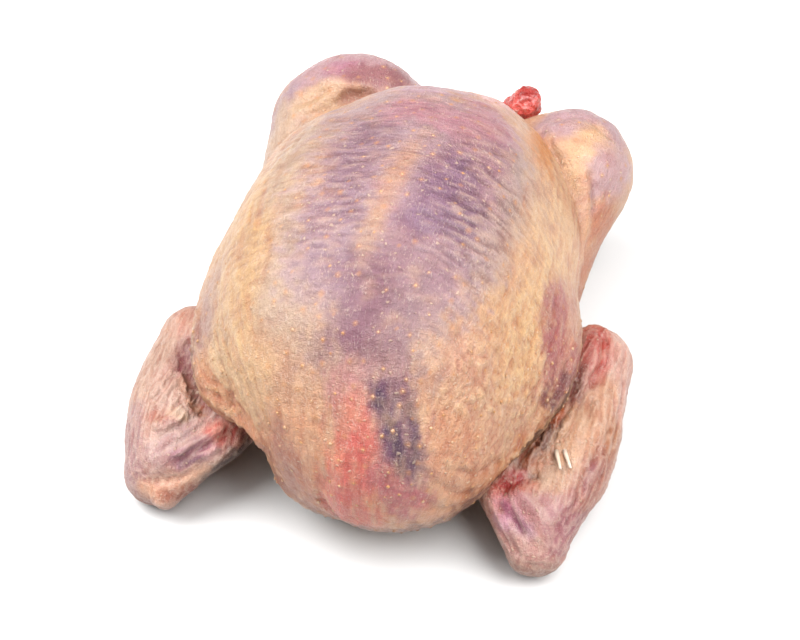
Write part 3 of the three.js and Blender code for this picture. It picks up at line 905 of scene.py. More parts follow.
# The colours of the skin over the body and legs: the points that each patch runs through, how far it
# reaches from them, its colour, how much of it shows and how softly it fades.
SKIN_PATCHES = {
    "pale back": ([(0, 10, 0)], (60, 85, 13), "#e3c3ab", 0.9, 0.5),
    "tan front": ([(-14, -42, 34), (0, -48, 30), (22, -40, 34)], (16, 9, 17), "#eab18b", 1.0, 0.5),
    "cream left flank": (
        [(-37, 6, 52), (-31, -15, 54), (-27, -30, 46)],
        (12, 11, 16), "#e9c18b", 1.0, 0.5),
    "cream right flank": (
        [(33, 26, 46), (31, 0, 53), (27, -14, 54)],
        (8.5, 13, 14), "#f9cd9b", 1.0, 0.5),
    "pale left side": (
        [(-24, 22, 67), (-26, 3, 68), (-23, -9, 68), (-18, -30, 60)],
        (7, 9, 9), "#d4bea6", 0.9, 0.6),
    "peach low left": ([(-20, -34, 55), (-13, -37, 54)], (8, 5, 7), "#d1a687", 0.8, 0.6),
    # Painted shade: the middle of the left side darkened.
    "painted shade left middle": (
        [(-22, -12, 67), (-19, -18, 66), (-17, -24, 64)],
        (5, 5, 8), "#c6aa94", 0.6, 0.8),
    "gold left flank": (
        [(-34, -1, 58), (-29, -7, 62), (-27, -14, 60)],
        (5.5, 7, 8), "#e6be88", 1.0, 0.7),
    "gold left shoulder": ([(-35, 3, 60), (-34, 10, 62)], (3, 5, 5), "#e9bd82", 0.6, 0.8),
    "gold left low": ([(-29, -30, 50), (-23, -34, 52)], (4, 4, 6), "#fcd5a0", 0.7, 0.8),
    "mauve left edge": ([(-41, -8, 45), (-41, -17, 39)], (3.5, 7, 7), "#bb9895", 0.75, 0.6),
    "gold right flank": ([(33, 10, 49), (31, -8, 50), (31, -15, 45)], (5, 8, 7), "#fbd096", 0.9, 0.7),
    "pink right low": ([(20, -26, 57), (23, -24, 55)], (5, 5, 5), "#dfaa92", 0.7, 0.7),
    "amber low left": (
        [(-38, -24, 34), (-35, -27, 30), (-30, -31, 32), (-23, -39, 34)],
        (5, 5, 7), "#e9a57b", 0.9, 0.6),
    # Painted shade low on the left of the neck end.
    "painted shade under left": (
        [(-17, -43, 36), (-13, -45, 27), (-7, -46, 22)],
        (5, 4, 6), "#bf6c4a", 0.8, 0.6),
    # Painted shade, warm from bounced light, on the right side where it hangs over the wing.
    "painted shade under right": (
        [(41, -10, 30), (37.5, -17, 28), (34, -24, 26), (29, -32, 26), (24, -39, 26)],
        (4, 6, 6), "#cc7a34", 0.9, 0.6),
    "tan breast": ([(21, 24, 66), (21, 8, 67), (19, -6, 67)], (7, 10, 8), "#cab1a9", 0.9, 0.6),
    "mauve breast": ([(-1, 32, 69), (1, 5, 75), (0, -16, 70)], (21, 12, 15), "#bb9fa7", 1.0, 0.4),
    "mauve neck": ([(0, -22, 69), (2, -34, 62)], (14, 6, 11), "#b0928e", 0.9, 0.5),
    "purple left breast": (
        [(-9, 24, 70), (-11, 14, 72), (-11, 5, 73), (-12, -5, 72), (-13, -15, 70), (-7, -20, 69)],
        (6, 6, 7), "#a78898", 1.0, 0.6),
    "purple right breast": (
        [(14, 27, 67), (13, 14, 72), (12, 3, 73), (7, -8, 73), (10, -14, 70), (3, -21, 69)],
        (8, 7, 8), "#ad8694", 1.0, 0.5),
    "purple right core": ([(11, 13, 73), (9, 5, 74), (6.5, -4, 74)], (5.5, 5, 6), "#96738e", 1.0, 0.6),
    "purple right side": ([(16, 3, 71), (15, -4, 71)], (3.5, 4, 5), "#906f88", 0.8, 0.6),
    "purple neck": ([(-3, -18, 71), (0, -24, 68), (-0.5, -31, 65)], (6.8, 5, 7), "#8e6073", 1.0, 0.55),
    "purple neck right": ([(8, -19, 69), (7, -24, 67), (5, -34, 61)], (4.5, 5, 6), "#9f7a84", 0.9, 0.6),
    "pink row patch": ([(4, -12.5, 72), (12, -11, 70)], (3.5, 2.6, 5), "#a98894", 0.8, 0.6),
    "pink top": (
        [(-3, 31, 71), (8, 30, 70), (16, 33, 66), (13, 40, 65)],
        (6, 6, 7), "#c6919f", 0.9, 0.6),
    # Painted light: a paler band across the top.
    "painted light top": ([(-5, 43, 66), (3, 46, 63)], (7, 4, 6), "#d0b1c3", 0.8, 0.6),
    "orange right top": ([(26, 40, 54), (25, 47, 51), (24, 56, 47)], (4, 7, 5), "#f2a050", 0.9, 0.6),
    "peach keel": (
        [(0.5, 13, 76), (-1, 7, 76), (-2.6, 1, 75.5), (-3.2, -4, 75)],
        (2.5, 4, 7), "#c89e8e", 1.0, 0.8),
    "peach keel end": ([(-3.6, -7, 74), (-4.4, -12, 73)], (2.2, 4, 6), "#c49e83", 0.7, 0.9),
    "purple right edge": (
        [(36.5, 3, 44), (38, -4, 40), (39.5, -9, 34), (41, -3, 30)],
        (5.6, 8, 6), "#bd6b6d", 1.0, 0.5),
    "cream strip": ([(39.5, 13, 37), (40, 4, 38)], (1.8, 5, 4), "#e0aa92", 0.8, 0.5),
    "stain left neck": (
        [(-17, -42.5, 41), (-16, -43.5, 34), (-15, -43, 27)],
        (2.6, 3, 5), "#cf947b", 0.7, 0.7),
    "pink neck": ([(0.3, -38, 57), (0.8, -41, 53), (1, -44, 49)], (6.2, 4.5, 5), "#cc9595", 1.0, 0.5),
    "pink neck low": ([(1.2, -49, 38), (0.4, -50, 31), (0, -48, 24)], (7, 5, 6), "#ee7f66", 1.0, 0.5),
    "mauve neck front": (
        [(6, -38, 57.5), (7.5, -42, 52), (9.5, -45.5, 46), (11.5, -48, 40)],
        (6.2, 5, 6), "#bc9697", 0.95, 0.5),
    "pink neck rows": ([(0.5, -40, 54), (0.5, -43.5, 49)], (4, 3, 4), "#d99c8e", 0.8, 0.7),
    "red neck": (
        [(0.6, -42.6, 51), (1.2, -46, 45.5), (1.3, -48.5, 40), (0.8, -50, 35), (-0.8, -50, 31.5)],
        (3.9, 4, 5), "#eb8c7e", 1.0, 0.6),
    "red cores": (
        [(1.0, -45.5, 46.5), (1.8, -48.5, 40), (0.5, -50, 35), (-2.2, -50, 32)],
        (2.0, 3, 2.8), "#ea6462", 0.55, 0.9),
    "rose neck left": ([(-3.6, -47, 42), (-4.6, -49, 35)], (2.2, 3, 4), "#f39880", 0.7, 0.8),
    "dark neck left": (
        [(4.8, -38.2, 56.4), (5.9, -40.8, 53), (7.4, -42.6, 50.4), (9.1, -44.3, 47.6), (10.3, -46, 44),
         (11.6, -47.2, 41)],
        (2.9, 2.8, 2.8), "#774b6f", 1.0, 0.5),
    "dark neck right": (
        [(8.6, -37.8, 55.8), (10.7, -38.8, 54), (11.9, -41, 50.8), (12.4, -43.2, 47.5),
         (12.9, -45.1, 44.3), (13.6, -46.4, 41)],
        (2.1, 2.4, 2.4), "#916876", 1.0, 0.5),
    "pale neck gap": ([(7.7, -39.4, 54.4), (8.5, -41.2, 51.9)], (1.0, 1.5, 1.8), "#9f8486", 0.8, 0.8),
    "pale neck slit": ([(10.2, -42.6, 49.4), (11.0, -44, 46.8)], (0.7, 1.3, 1.5), "#a28188", 0.8, 0.8),
    "dark streak left": (
        [(4.8, -39.4, 55.2), (5.9, -41.4, 52.2), (7.6, -43.2, 49.2), (9.4, -45, 45.8),
         (11.2, -46.8, 41.8)],
        (1.1, 2, 2), "#4d3552", 0.75, 0.7),
    "dark streak right": (
        [(10.9, -40, 52.6), (12.2, -42, 49.4), (13.1, -44.2, 46), (13.5, -46, 42.6)],
        (0.8, 2, 2), "#634868", 0.75, 0.7),
    # Painted shade along the lower edge of the neck end, next to the floor.
    "painted shade low edge": (
        [(-7, -45, 13), (2, -47.5, 15), (10, -47, 16), (19, -43, 18), (25, -39.5, 22)],
        (6, 6, 6), "#7a4538", 0.85, 0.5),
    "mauve neck end": (
        [(8, -48.6, 39), (10, -49.3, 35.6), (12, -49.2, 31), (14, -48.3, 33.7)],
        (3.6, 4, 4), "#cd737b", 0.9, 0.6),
    # Painted shade in the gap between the body and the right wing.
    "painted shade right gap": (
        [(41.6, -4.4, 26.5), (40.7, -9.2, 27), (38.2, -15.3, 26.5), (34.7, -21.6, 25.5),
         (29, -32, 23.5)],
        (2.2, 3.2, 2.8), "#673427", 1.0, 0.6),
    # Painted shade low on the right side, above the wing.
    "painted shade right low": ([(39.8, -8.9, 33.2), (37.7, -14.7, 32.9)], (2.6, 3.4, 3), "#6e3538", 0.8, 0.7),
    # Painted shade under the left rim, where it hangs over the wing.
    "painted shade below left rim": ([(-43.6, -15.8, 33.8), (-42.6, -19.2, 32)], (2.2, 3, 3), "#844a46", 0.9, 0.7),
    # Painted shade low on the front, next to the floor.
    "painted shade low front": (
        [(-9, -43.5, 17), (-14, -42, 18), (-19, -39.5, 20)],
        (5, 3.4, 3.5), "#b5694a", 0.9, 0.6),
    "amber low front": ([(-21, -39.5, 32), (-20.5, -39.8, 26)], (3, 2.6, 4), "#ba6f4a", 0.8, 0.7),
    # Painted light along the left rim, where the skin turns under, away from the lamps.
    "painted light low rim": (
        [(-36, -23, 39), (-33, -26.5, 39), (-29, -31.5, 40), (-25, -36, 40)],
        (3, 3, 4.5), "#ffdcae", 0.95, 0.7),
    "mauve left knee": (
        [(-36, 70, 43), (-28, 74, 46), (-18, 73, 46), (-8, 76, 40)],
        (8, 7, 7), "#ceaab3", 0.95, 0.45),
    "rose left knee": ([(-30, 70, 47), (-26, 71, 47.5)], (3.5, 3, 3), "#c07c9f", 0.7, 0.7),
    "dusk left knee": ([(-22, 69, 47), (-15, 70, 45)], (5.5, 4, 5), "#a26a71", 0.95, 0.6),
    "violet left knee": ([(-41, 64, 41), (-43, 60, 36)], (4, 5, 4), "#b69baf", 0.85, 0.6),
    "peach left web": ([(-41, 57, 39), (-37, 55, 41), (-43, 50, 33)], (5, 6, 5), "#dcc2ab", 0.95, 0.5),
    "gold left web": (
        [(-34, 61, 43), (-29, 61, 44), (-25, 60, 43.5)],
        (4, 3.5, 4), "#dcb995", 0.95, 0.6),
    "brown left pit": ([(-20, 64, 45), (-24, 63, 44.8)], (2.6, 2.2, 2.8), "#bd8877", 0.85, 0.6),
    "mauve right knee": ([(28, 64, 45), (34, 68, 45), (41, 66, 42)], (7, 6, 6), "#c9a8b2", 0.95, 0.45),
    "yellow right knee": (
        [(34, 54, 44), (33, 50, 42), (37, 60, 44)],
        (4.5, 5, 5), "#f3c99d", 0.95, 0.6),
    "mauve right thigh": (
        [(41, 55, 40), (40, 48, 36), (44, 58, 36)],
        (4.5, 6, 5), "#d5b2b8", 0.95, 0.5),
    "tan right thigh": ([(42, 44, 27), (41, 36, 23), (40, 28, 22)], (7, 8, 9), "#d98f69", 0.95, 0.45),
    "cream ridge": (
        [(36, 50, 40), (38, 44, 36), (38.5, 36, 31), (38.5, 26, 31)],
        (1.6, 2, 2), "#f0bd99", 0.8, 0.6),
    "cuff": ([(10, 77, 30), (12, 57, 55), (13, 51, 60)], (5, 6, 5), "#f5c4c4", 0.9, 0.5),
}

LEFT_WING_PATCHES = {
    "cream forearm": ([(-54, -2, 22), (-56, -12, 20), (-56, -22, 19)], (4, 8, 6), "#dab7a3", 0.9, 0.5),
    "pink elbow": ([(-51, 1, 24), (-48, -1, 24), (-49, 6, 18)], (4.5, 5, 6), "#e3ac98", 0.9, 0.6),
    "mauve forearm": (
        [(-57, -28, 17), (-56, -33, 15), (-54, -38, 12)],
        (3.6, 6, 6), "#bf969a", 0.9, 0.5),
    "cream fan": (
        [(-51, -16, 22), (-50, -21, 22), (-48, -24, 21), (-49, -30, 20)],
        (4, 4.5, 4), "#dcb3a4", 0.95, 0.5),
    "amber fan": ([(-51, -26.5, 21), (-48, -27.5, 21)], (2.6, 1.4, 2.4), "#c57359", 0.8, 0.7),
    "amber wrinkles": ([(-47.5, -20, 22), (-44.5, -21.5, 22)], (2.6, 2.6, 3), "#f4d4c4", 0.8, 0.7),
    "cream tendon": (
        [(-47.5, -14, 23), (-45.8, -18, 22.5), (-42, -22.5, 21.5)],
        (1.2, 2, 2.4), "#f0b58e", 0.9, 0.8),
    # Painted shade in the recess along the big fold.
    "painted shade recess": (
        [(-46, -7, 22.5), (-44.5, -13, 22), (-42.5, -19, 22)],
        (2.2, 3.5, 4), "#b87f78", 0.9, 0.6),
    # Painted shade in the gap of the big fold.
    "painted shade fold gap": (
        [(-44.8, -10.7, 22), (-43, -15, 22), (-41.7, -19.3, 22), (-38.7, -23.3, 21)],
        (1.7, 2.5, 3.5), "#6e3b2c", 0.9, 0.7),
    "wine spot": ([(-49, -8.5, 23), (-47.5, -12, 22.5)], (2.4, 3.2, 3), "#a04f62", 0.95, 0.8),
    "tan recess": ([(-42, -22.5, 21), (-40, -24.5, 21)], (1.8, 1.8, 3), "#e2a884", 0.9, 0.7),
    "tan shoulder": ([(-36, -8, 22), (-38, -18, 22)], (4, 7, 6), "#ab3318", 0.85, 0.5),
    "rose web": (
        [(-43, -28, 20), (-42, -31, 19), (-46, -33, 19), (-49, -36, 18)],
        (4, 3.4, 4), "#cfabac", 0.9, 0.6),
    "coral web": (
        [(-37, -25, 20), (-39.5, -27, 20), (-37, -29, 19)],
        (2.8, 2.4, 3.4), "#e5beb7", 0.9, 0.7),
    "red web": (
        [(-31, -26, 18), (-34, -25.5, 19), (-36, -27.5, 19)],
        (3.2, 2.2, 4), "#c8564a", 0.95, 0.7),
    "mauve web": (
        [(-37, -31.5, 18), (-39.5, -33.5, 17), (-42, -35, 17)],
        (3.2, 2.0, 3), "#b98093", 0.95, 0.7),
    "pit": ([(-38.5, -34.5, 16.5), (-42, -36.2, 16.5)], (1.8, 1.1, 2), "#7d5575", 0.8, 0.8),
    "pale lip": (
        [(-37, -36, 13.5), (-43, -40, 12), (-50, -41.5, 11)],
        (3, 2.3, 3), "#f3bd9c", 0.95, 0.6),
    # Painted shade in the gap between the wing and the body, next to the floor.
    "painted shade wing edge": (
        [(-31, -27, 14), (-33.5, -31.5, 12), (-37, -36, 8)],
        (2.8, 2.6, 4), "#38221f", 0.9, 0.5),
    "tan lip edge": ([(-40, -38.2, 10.5), (-44.6, -40.6, 9.8)], (2.6, 1.6, 1.8), "#a8604c", 0.8, 0.7),
    "red web end": ([(-31.5, -27, 17), (-33, -26.8, 18)], (1.8, 1.4, 1.6), "#a5453c", 0.9, 0.7),
    "white web": ([(-46.5, -25.5, 21.5), (-44.5, -26.2, 21.2)], (1.8, 1.2, 1.6), "#fbd9ba", 0.8, 0.8),
    # Painted shade on the underside of the wing, next to the floor.
    "painted shade wing underside": ([(-38, -38, 4), (-48, -41, 2)], (6, 4, 4), "#8e4a40", 0.8, 0.5),
}

RIGHT_WING_PATCHES = {
    "cream elbow": (
        [(49, 17, 22), (51, 14, 22), (52, 7, 20), (53, 0, 17)],
        (4, 5, 7), "#eabcae", 0.95, 0.5),
    "peach forearm": (
        [(49, 0, 21), (49, -5, 21), (51, -9, 19), (50, -14, 20)],
        (4, 5, 5), "#e9b897", 0.95, 0.5),
    "red rim": ([(41.5, 15, 24), (43, 17.5, 23), (46.5, 18, 23)], (2.2, 2.2, 3), "#ef9677", 0.9, 0.7),
    "rose top": ([(44.5, 14.5, 24), (45, 10, 24), (44.5, 5, 23)], (2.6, 3, 4), "#ce5d54", 0.95, 0.6),
    "red groove": ([(48, 13, 24), (48, 8, 23.5), (47, 4, 23)], (1.6, 3, 3), "#d45a4c", 0.95, 0.7),
    "brown roll": (
        [(42.5, 3, 23), (42, -2, 23), (41, -7, 23), (39, -11, 22)],
        (2.4, 3.5, 4), "#8f4438", 0.95, 0.6),
    "tan crumple": (
        [(44, -10, 22), (42.5, -15, 22), (43, -20, 21)],
        (3.4, 3.6, 4), "#efbe97", 0.95, 0.6),
    "brown crumple": (
        [(37.5, -13, 22), (36.5, -18, 21.5), (35, -22.5, 21)],
        (2.6, 3, 4), "#6b3c30", 0.9, 0.7),
    # Painted shade in the gap between the web and the body.
    "painted shade wing gap": ([(34, -26, 20), (36.5, -26, 20)], (2, 1.3, 3), "#4a2c22", 0.85, 0.7),
    "tan lower": ([(40, -24.5, 20), (43, -28, 19), (38.5, -30, 19)], (3.8, 3, 4), "#e2b695", 0.95, 0.6),
    "coral web": ([(35.5, -29, 20), (33.5, -30.5, 19)], (2.6, 2, 3), "#dd8672", 0.9, 0.7),
    "red web": ([(30, -30, 19.5), (32.5, -27.5, 20)], (2.6, 2.2, 3.6), "#c64c3c", 0.95, 0.7),
    "mauve web": (
        [(31, -32.6, 18), (35, -33, 17.8), (35.5, -35.5, 17)],
        (3.2, 1.8, 3), "#efb2bb", 0.95, 0.7),
    "pink web": ([(38.5, -33, 18), (42, -32, 18), (41, -35.5, 16)], (3.2, 2.6, 3), "#cc969b", 0.9, 0.6),
    "lilac lip": ([(31.5, -36, 15), (35, -38.5, 15)], (3.8, 2.2, 3.4), "#e6bbcf", 0.95, 0.6),
    "pale lip": ([(34, -40, 12), (38, -42, 11), (41.5, -42.5, 9)], (4, 2.2, 3.4), "#e4b1ab", 0.95, 0.6),
    "mauve outside": (
        [(48, -29, 15), (47, -33, 13), (44.5, -37, 12)],
        (3.6, 4, 5), "#af6b79", 0.9, 0.6),
    "rose outside": (
        [(51.5, -16, 18), (50.5, -21, 18), (49, -26, 17)],
        (2.4, 4, 5), "#bb7b69", 0.95, 0.6),
    "coral roll": (
        [(37.7, 9.2, 23), (38.8, 3.2, 24), (38.1, -2.7, 24)],
        (2, 4, 2.6), "#b8493f", 0.9, 0.7),
    "pale roll": ([(45.3, 7.5, 23.4), (45.3, 2.6, 22.8)], (1.3, 3, 2), "#eca399", 0.9, 0.8),
    "brown roll side": ([(40.5, -7.5, 23), (39.6, -10.5, 22.6)], (1.4, 2.4, 2), "#cd6b3a", 0.9, 0.7),
    # Painted shade in the gap between the body and the right wing.
    "painted shade fold gap": (
        [(36.8, -12.5, 22), (36, -17.5, 21), (34.5, -22, 20.5)],
        (1.3, 3, 2.6), "#c6724a", 0.9, 0.7),
    "tan fold": ([(38.9, -21.6, 21), (37.6, -24, 20.6)], (1.5, 1.6, 2), "#ce7a45", 0.8, 0.8),
    "crimson web": ([(34.1, -26.8, 19.8), (31.5, -29, 19.6)], (1.5, 1.6, 2), "#c43a3b", 0.9, 0.8),
    "tan outside": ([(53, -7, 16.8), (52.8, -12, 16.5)], (2, 4, 3), "#bf7f56", 0.8, 0.7),
    "brown tip": ([(38, -43.2, 7.5), (43, -42, 6.5)], (4, 2, 3), "#b18575", 0.8, 0.7),
    "violet streak": (
        [(31.5, -33.5, 17.5), (33.5, -35.5, 16.8), (35.5, -37.5, 15.5)],
        (1.2, 1.4, 1.8), "#ab557b", 0.9, 0.8),
    "magenta outside": ([(49.5, -20.5, 18.4), (48.8, -24.5, 17.6)], (1.1, 2.4, 2), "#9a4a55", 0.8, 0.8),
    "dark lip side": ([(26.5, -31, 11), (29, -36, 9)], (2.4, 3, 5), "#b17665", 0.9, 0.5),
}


def painted(p, base, patches, fringe, fray):
    """The base colour with every patch laid over it in turn, its edge frayed by noise and the fringe."""
    frayed = p + 2 * fray * shift(p, 9, SEED + 40) + fray * shift(p, 3.4, SEED + 50)
    tint = np.tile(base, (len(p), 1))
    for points, half, code, share, soft in patches.values():
        spots = np.array(points, float) / half
        ends = spots[1:] if len(spots) > 1 else spots
        q = frayed / half
        away = np.min([bone(q, a, b, 0, 0) for a, b in zip(spots, ends)], axis=0) + fringe
        mask = share * eased((1 + soft - away) / (2 * soft))
        tint = tint + mask[:, None] * (np.array(paint(code, DIM)) - tint)
    return tint


def washed(tint, share, code):
    """The tint taken part of the way to a colour."""
    return tint + share[:, None] * (np.array(paint(code, DIM)) - tint)


def stained(tint, share, code):
    """The tint seen through a film of a colour."""
    return tint * (1 + share[:, None] * (np.array(paint(code)) - 1))


def body_tint(surface, base, rows, streaks, lumps, hollow):
    """The body's colour: its patches, then pale crests and darker beds, mottling, and painted shade in
    the hollows.
    """
    p = surface.points
    mottle = rough(p, 2.4, SEED + 60, 2)
    flow = noise(p / row(1.5, 7, 7), SEED + 62)
    fringe = 0.3 * mottle - 0.28 * rows - 0.12 * streaks + 0.5 * lower_share(p) * flow
    tint = painted(p, base, SKIN_PATCHES, fringe, 0.6)
    tint = washed(tint, 0.3 * lower_share(p) * eased(1.8 * flow - 0.2), "#f2cfae")
    tint = stained(tint, 0.3 * lower_share(p) * eased(-1.8 * flow - 0.2), "#cf9a90")
    dashed = dashed_share(p)
    tint = stained(tint, (0.26 + 0.34 * dashed) * eased(-1.8 * rows), "#a78ca0")
    tint = washed(tint, (0.12 + 0.26 * dashed) * eased(1.8 * rows - 0.15), "#ecd0b4")
    tint = washed(tint, 0.26 * eased(1.6 * streaks - 0.1), "#f8dcb0")
    tint = stained(tint, 0.34 * eased(-1.5 * streaks), "#e0a583")
    fat = 0.3 * lower_share(p) + 0.7 * fat_share(p)
    tint = washed(tint, 0.45 * fat * eased(1.5 * lumps), "#f8d6a4")
    tint = stained(tint, 0.45 * fat * eased(-3.2 * lumps), "#d99a82")
    tint = washed(tint, 0.18 * eased(1.3 * rough(p, 6, SEED + 66, 2) - 0.2), "#f2c78c")
    tint = stained(tint, 0.28 * eased(1.5 * rough(p, 5, SEED + 69, 2) - 0.1), "#dcb4b6")
    # Painted shade: darker and redder the deeper a point lies in a hollow.
    return stained(tint, 0.6 * hollow, "#b0604c")


def wing_tint(surface, wing, base, patches, strands, hollow):
    """A wing's colour: its patches, pale and dark wrinkles, painted shade in the hollows, and painted
    light round one point of its web.
    """
    p = surface.points
    tint = painted(p, base, patches, 0.25 * rough(p, 2.0, SEED + 70, 2) - 0.15 * strands, 0.25)
    tint = washed(tint, 0.30 * eased(2 * strands - 0.7), "#ffe8d4")
    tint = stained(tint, 0.26 * eased(0.9 - 2.6 * strands), "#d69a82")
    tint = stained(tint, 0.22 * eased(1.5 * rough(p, 3, SEED + 73, 2)), "#e8b6a4")
    # Painted shade: darker and redder the deeper a point lies in a hollow.
    tint = stained(tint, 0.8 * hollow, "#9a4a3c")
    # Painted light: the colour round this middle of the web is made up to 0.6 brighter.
    thin = eased(1.5 - np.linalg.norm((p - wing["thin"]) / row(4, 6, 4.5), axis=1))
    return tint * (1 + 0.6 * thin[:, None])


# The wet sheen that every finish shares, and how high its bumps stand.
MOIST = {
    "Subsurface Weight": 0.08, "Subsurface Radius": (1.0, 0.38, 0.24), "Subsurface Scale": 0.0007,
    "IOR": 1.42, "Coat Roughness": 0.22,
}
BUMP_HEIGHT = 0.0007 * MM / 0.001

# The shades that a pattern multiplies the colour by.
DARKER, PALER, ORANGE = (0.72, 0.63, 0.63), (1.24, 1.26, 1.29), (0.97, 0.74, 0.58)


def dressed(board, place, along, pattern, fixed):
    """The skin's finish: its own tint, a fine pattern, fibres that run along it, pores, and grain."""
    fine = board.grain(place, 1.5, 3.0, 0.62)
    sand = board.grain(place, 3.2, 2.0, 0.6)
    fibre = board.math("ABSOLUTE", board.grain(along, 1.0, 2.0, 0.6) - 0.5)
    fibres = board.ramp(fibre, 0.035, 0.0) * board.ramp(fine, 0.40, 0.60)
    nearby = board.ragged(place, (1.7, 1.5))
    pore = board.node("ShaderNodeTexVoronoi", None, {"Vector": nearby, "Scale": 0.40}, "Distance")
    rim = board.ramp(pore, 0.34, 0.16)
    dot = board.ramp(pore, 0.17, 0.08)
    colour = board.mark("tint", "Color")
    colour = board.mix(board.ramp(pattern, 0.5, 0.3) * 0.5, colour, DARKER, "MULTIPLY")
    colour = board.mix(board.ramp(pattern, 0.54, 0.72) * 0.55, colour, PALER, "MULTIPLY")
    colour = board.mix(board.ramp(fine, 0.49, 0.3) * 0.55, colour, DARKER, "MULTIPLY")
    colour = board.mix(board.ramp(fine, 0.53, 0.72) * 0.65, colour, PALER, "MULTIPLY")
    colour = board.mix(board.ramp(sand, 0.55, 0.70) * 0.75, colour, PALER, "MULTIPLY")
    colour = board.mix(fibres * 0.4, colour, paint("#f9e6dc", DIM))
    follicle = board.ramp(board.mark("follicle"), 0.1, 0.8)
    colour = board.mix(follicle * 0.45, colour, paint("#dfa06a", DIM))
    colour = board.mix(rim * 0.22, colour, ORANGE, "MULTIPLY")
    colour = board.mix(dot * 0.5, colour, paint("#ffe9cf", DIM))
    bumps = pattern * 0.4 + fine * 0.45 + sand * 0.4 + fibres * 0.12 + dot * 0.25
    return board.shade(
        {**MOIST, **fixed},
        {"Base Color": colour,
         "Roughness": board.ramp(sand, 0.3, 0.7, 0.30, 0.50),
         "Normal": board.bump(bumps)})


def skin_material():
    """The body's skin: rows across the breast, and streaks that run to the tail elsewhere."""
    board = Board("Squab skin")
    place = board.place()
    x, y, z = board.parts(board.ragged(place, (5, 1.5)))
    around = board.math("ARCTAN2", x, z + 15.0) * 70.0
    rows = board.grain(board.joined(around / 3.4, y / 0.95, z / 9.0), 1.0, 3.0, 0.6)
    along = board.joined(around / 0.9, y / 4.5, z / 4.5)
    streaks = board.grain(along, 1.0, 3.0, 0.6)
    pattern = streaks + (rows - streaks) * board.mark("rows")
    return dressed(board, place, along, pattern, {"Coat Weight": 0.16})


def wing_material():
    """The wings' skin: a fine pattern drawn out along the wing, and more gloss than the body's."""
    board = Board("Squab wing skin")
    place = board.place()
    along = board.vector("MULTIPLY", board.ragged(place, (6, 3)), (1.0, 0.22, 0.6))
    return dressed(board, place, along, board.grain(along, 1.1, 4.0, 0.6), {"Coat Weight": 0.22})


def flesh_material(colours):
    """Raw flesh: dark and pale fibres, and deep red at the tip."""
    board = Board("Raw flesh")
    place = board.place()
    flow = board.grain(board.ragged(place, (2, 1.5)), 0.5, 3.0, 0.6)
    fine = board.grain(place, 2.2, 3.0, 0.65)
    colour = board.mix(board.ramp(flow, 0.5, 0.3) * 0.7, tuple(colours.flesh), paint("#9c1f22", DIM))
    colour = board.mix(board.ramp(flow, 0.56, 0.66) * 0.75, colour, paint("#f3b9ac", DIM))
    colour = board.mix(board.ramp(fine, 0.6, 0.7) * 0.5, colour, paint("#fbe6da", DIM))
    tip = board.ramp(board.parts(place)[2], 39.0, 42.0)
    colour = board.mix(tip * 0.7, colour, paint("#8e1420", DIM))
    return board.shade(
        {**MOIST, "Coat Weight": 0.6},
        {"Base Color": colour,
         "Roughness": board.ramp(fine, 0.3, 0.7, 0.22, 0.42),
         "Normal": board.bump(flow + fine * 0.5)})


def small_material(name, base, shade, gloss):
    """Fat nodules and quills: one colour, each thing a little lighter or darker than the next."""
    board = Board(name)
    fine = board.grain(board.place(), 0.9, 2.0, 0.6)
    colour = board.mix(board.mark("tone"), base, shade)
    colour = board.mix(board.ramp(fine, 0.4, 0.65) * 0.4, colour, paint("#fff0dc", DIM))
    return board.shade(
        {**MOIST, "Coat Weight": gloss},
        {"Base Color": colour, "Roughness": board.ramp(fine, 0.3, 0.7, 0.3, 0.45)})


# ---------------------------------------------------------------------------
# Geometry Nodes: follicle nodules and quill stubs
# ---------------------------------------------------------------------------

class Planter:
    """A node tree that stands a small shape on every point of a mesh."""

    def __init__(self, name, inputs):
        self.tree = bpy.data.node_groups.new(name, "GeometryNodeTree")
        face = self.tree.interface
        face.new_socket(name="Geometry", in_out="INPUT", socket_type="NodeSocketGeometry")
        for label, kind, default in inputs:
            made = face.new_socket(name=label, in_out="INPUT", socket_type=kind)
            if default is not None:
                made.default_value = default
        face.new_socket(name="Geometry", in_out="OUTPUT", socket_type="NodeSocketGeometry")
        self.start = self.tree.nodes.new("NodeGroupInput")
        self.end = self.tree.nodes.new("NodeGroupOutput")

    def node(self, kind, settings=None, values=None):
        made = self.tree.nodes.new(kind)
        for name, value in (settings or {}).items():
            setattr(made, name, value)
        for key, value in (values or {}).items():
            socket = Board.socket(made.inputs, key)
            if isinstance(value, bpy.types.NodeSocket):
                self.tree.links.new(value, socket)
            else:
                socket.default_value = value
        return made

    def given(self, label):
        return self.start.outputs[label]

    def mark(self, name, kind="FLOAT"):
        made = self.node("GeometryNodeInputNamedAttribute", {"data_type": kind}, {"Name": name})
        return made.outputs[0]

    def plant(self, shape, size):
        """The shape on each point, along the point's "up", as large as size, realized."""
        turn = self.node("FunctionNodeAlignRotationToVector", {"axis": "Z"},
                         {"Vector": self.mark("up", "FLOAT_VECTOR")})
        standing = self.node("GeometryNodeInstanceOnPoints", None, {
            "Points": self.given("Geometry"), "Instance": shape,
            "Rotation": turn.outputs[0], "Scale": size})
        tone = self.node("FunctionNodeRandomValue", {"data_type": "FLOAT"}, {"Seed": self.given("Seed")})
        toned = self.node(
            "GeometryNodeStoreNamedAttribute", {"data_type": "FLOAT", "domain": "INSTANCE"},
            {"Geometry": standing.outputs[0], "Name": "tone", "Value": tone.outputs[1]})
        real = self.node("GeometryNodeRealizeInstances", None, {"Geometry": toned.outputs[0]})
        smooth = self.node("GeometryNodeSetShadeSmooth", None, {"Geometry": real.outputs[0]})
        coated = self.node("GeometryNodeSetMaterial", None, {
            "Geometry": smooth.outputs[0], "Material": self.given("Material")})
        self.tree.links.new(coated.outputs[0], self.end.inputs[0])
        return self.tree


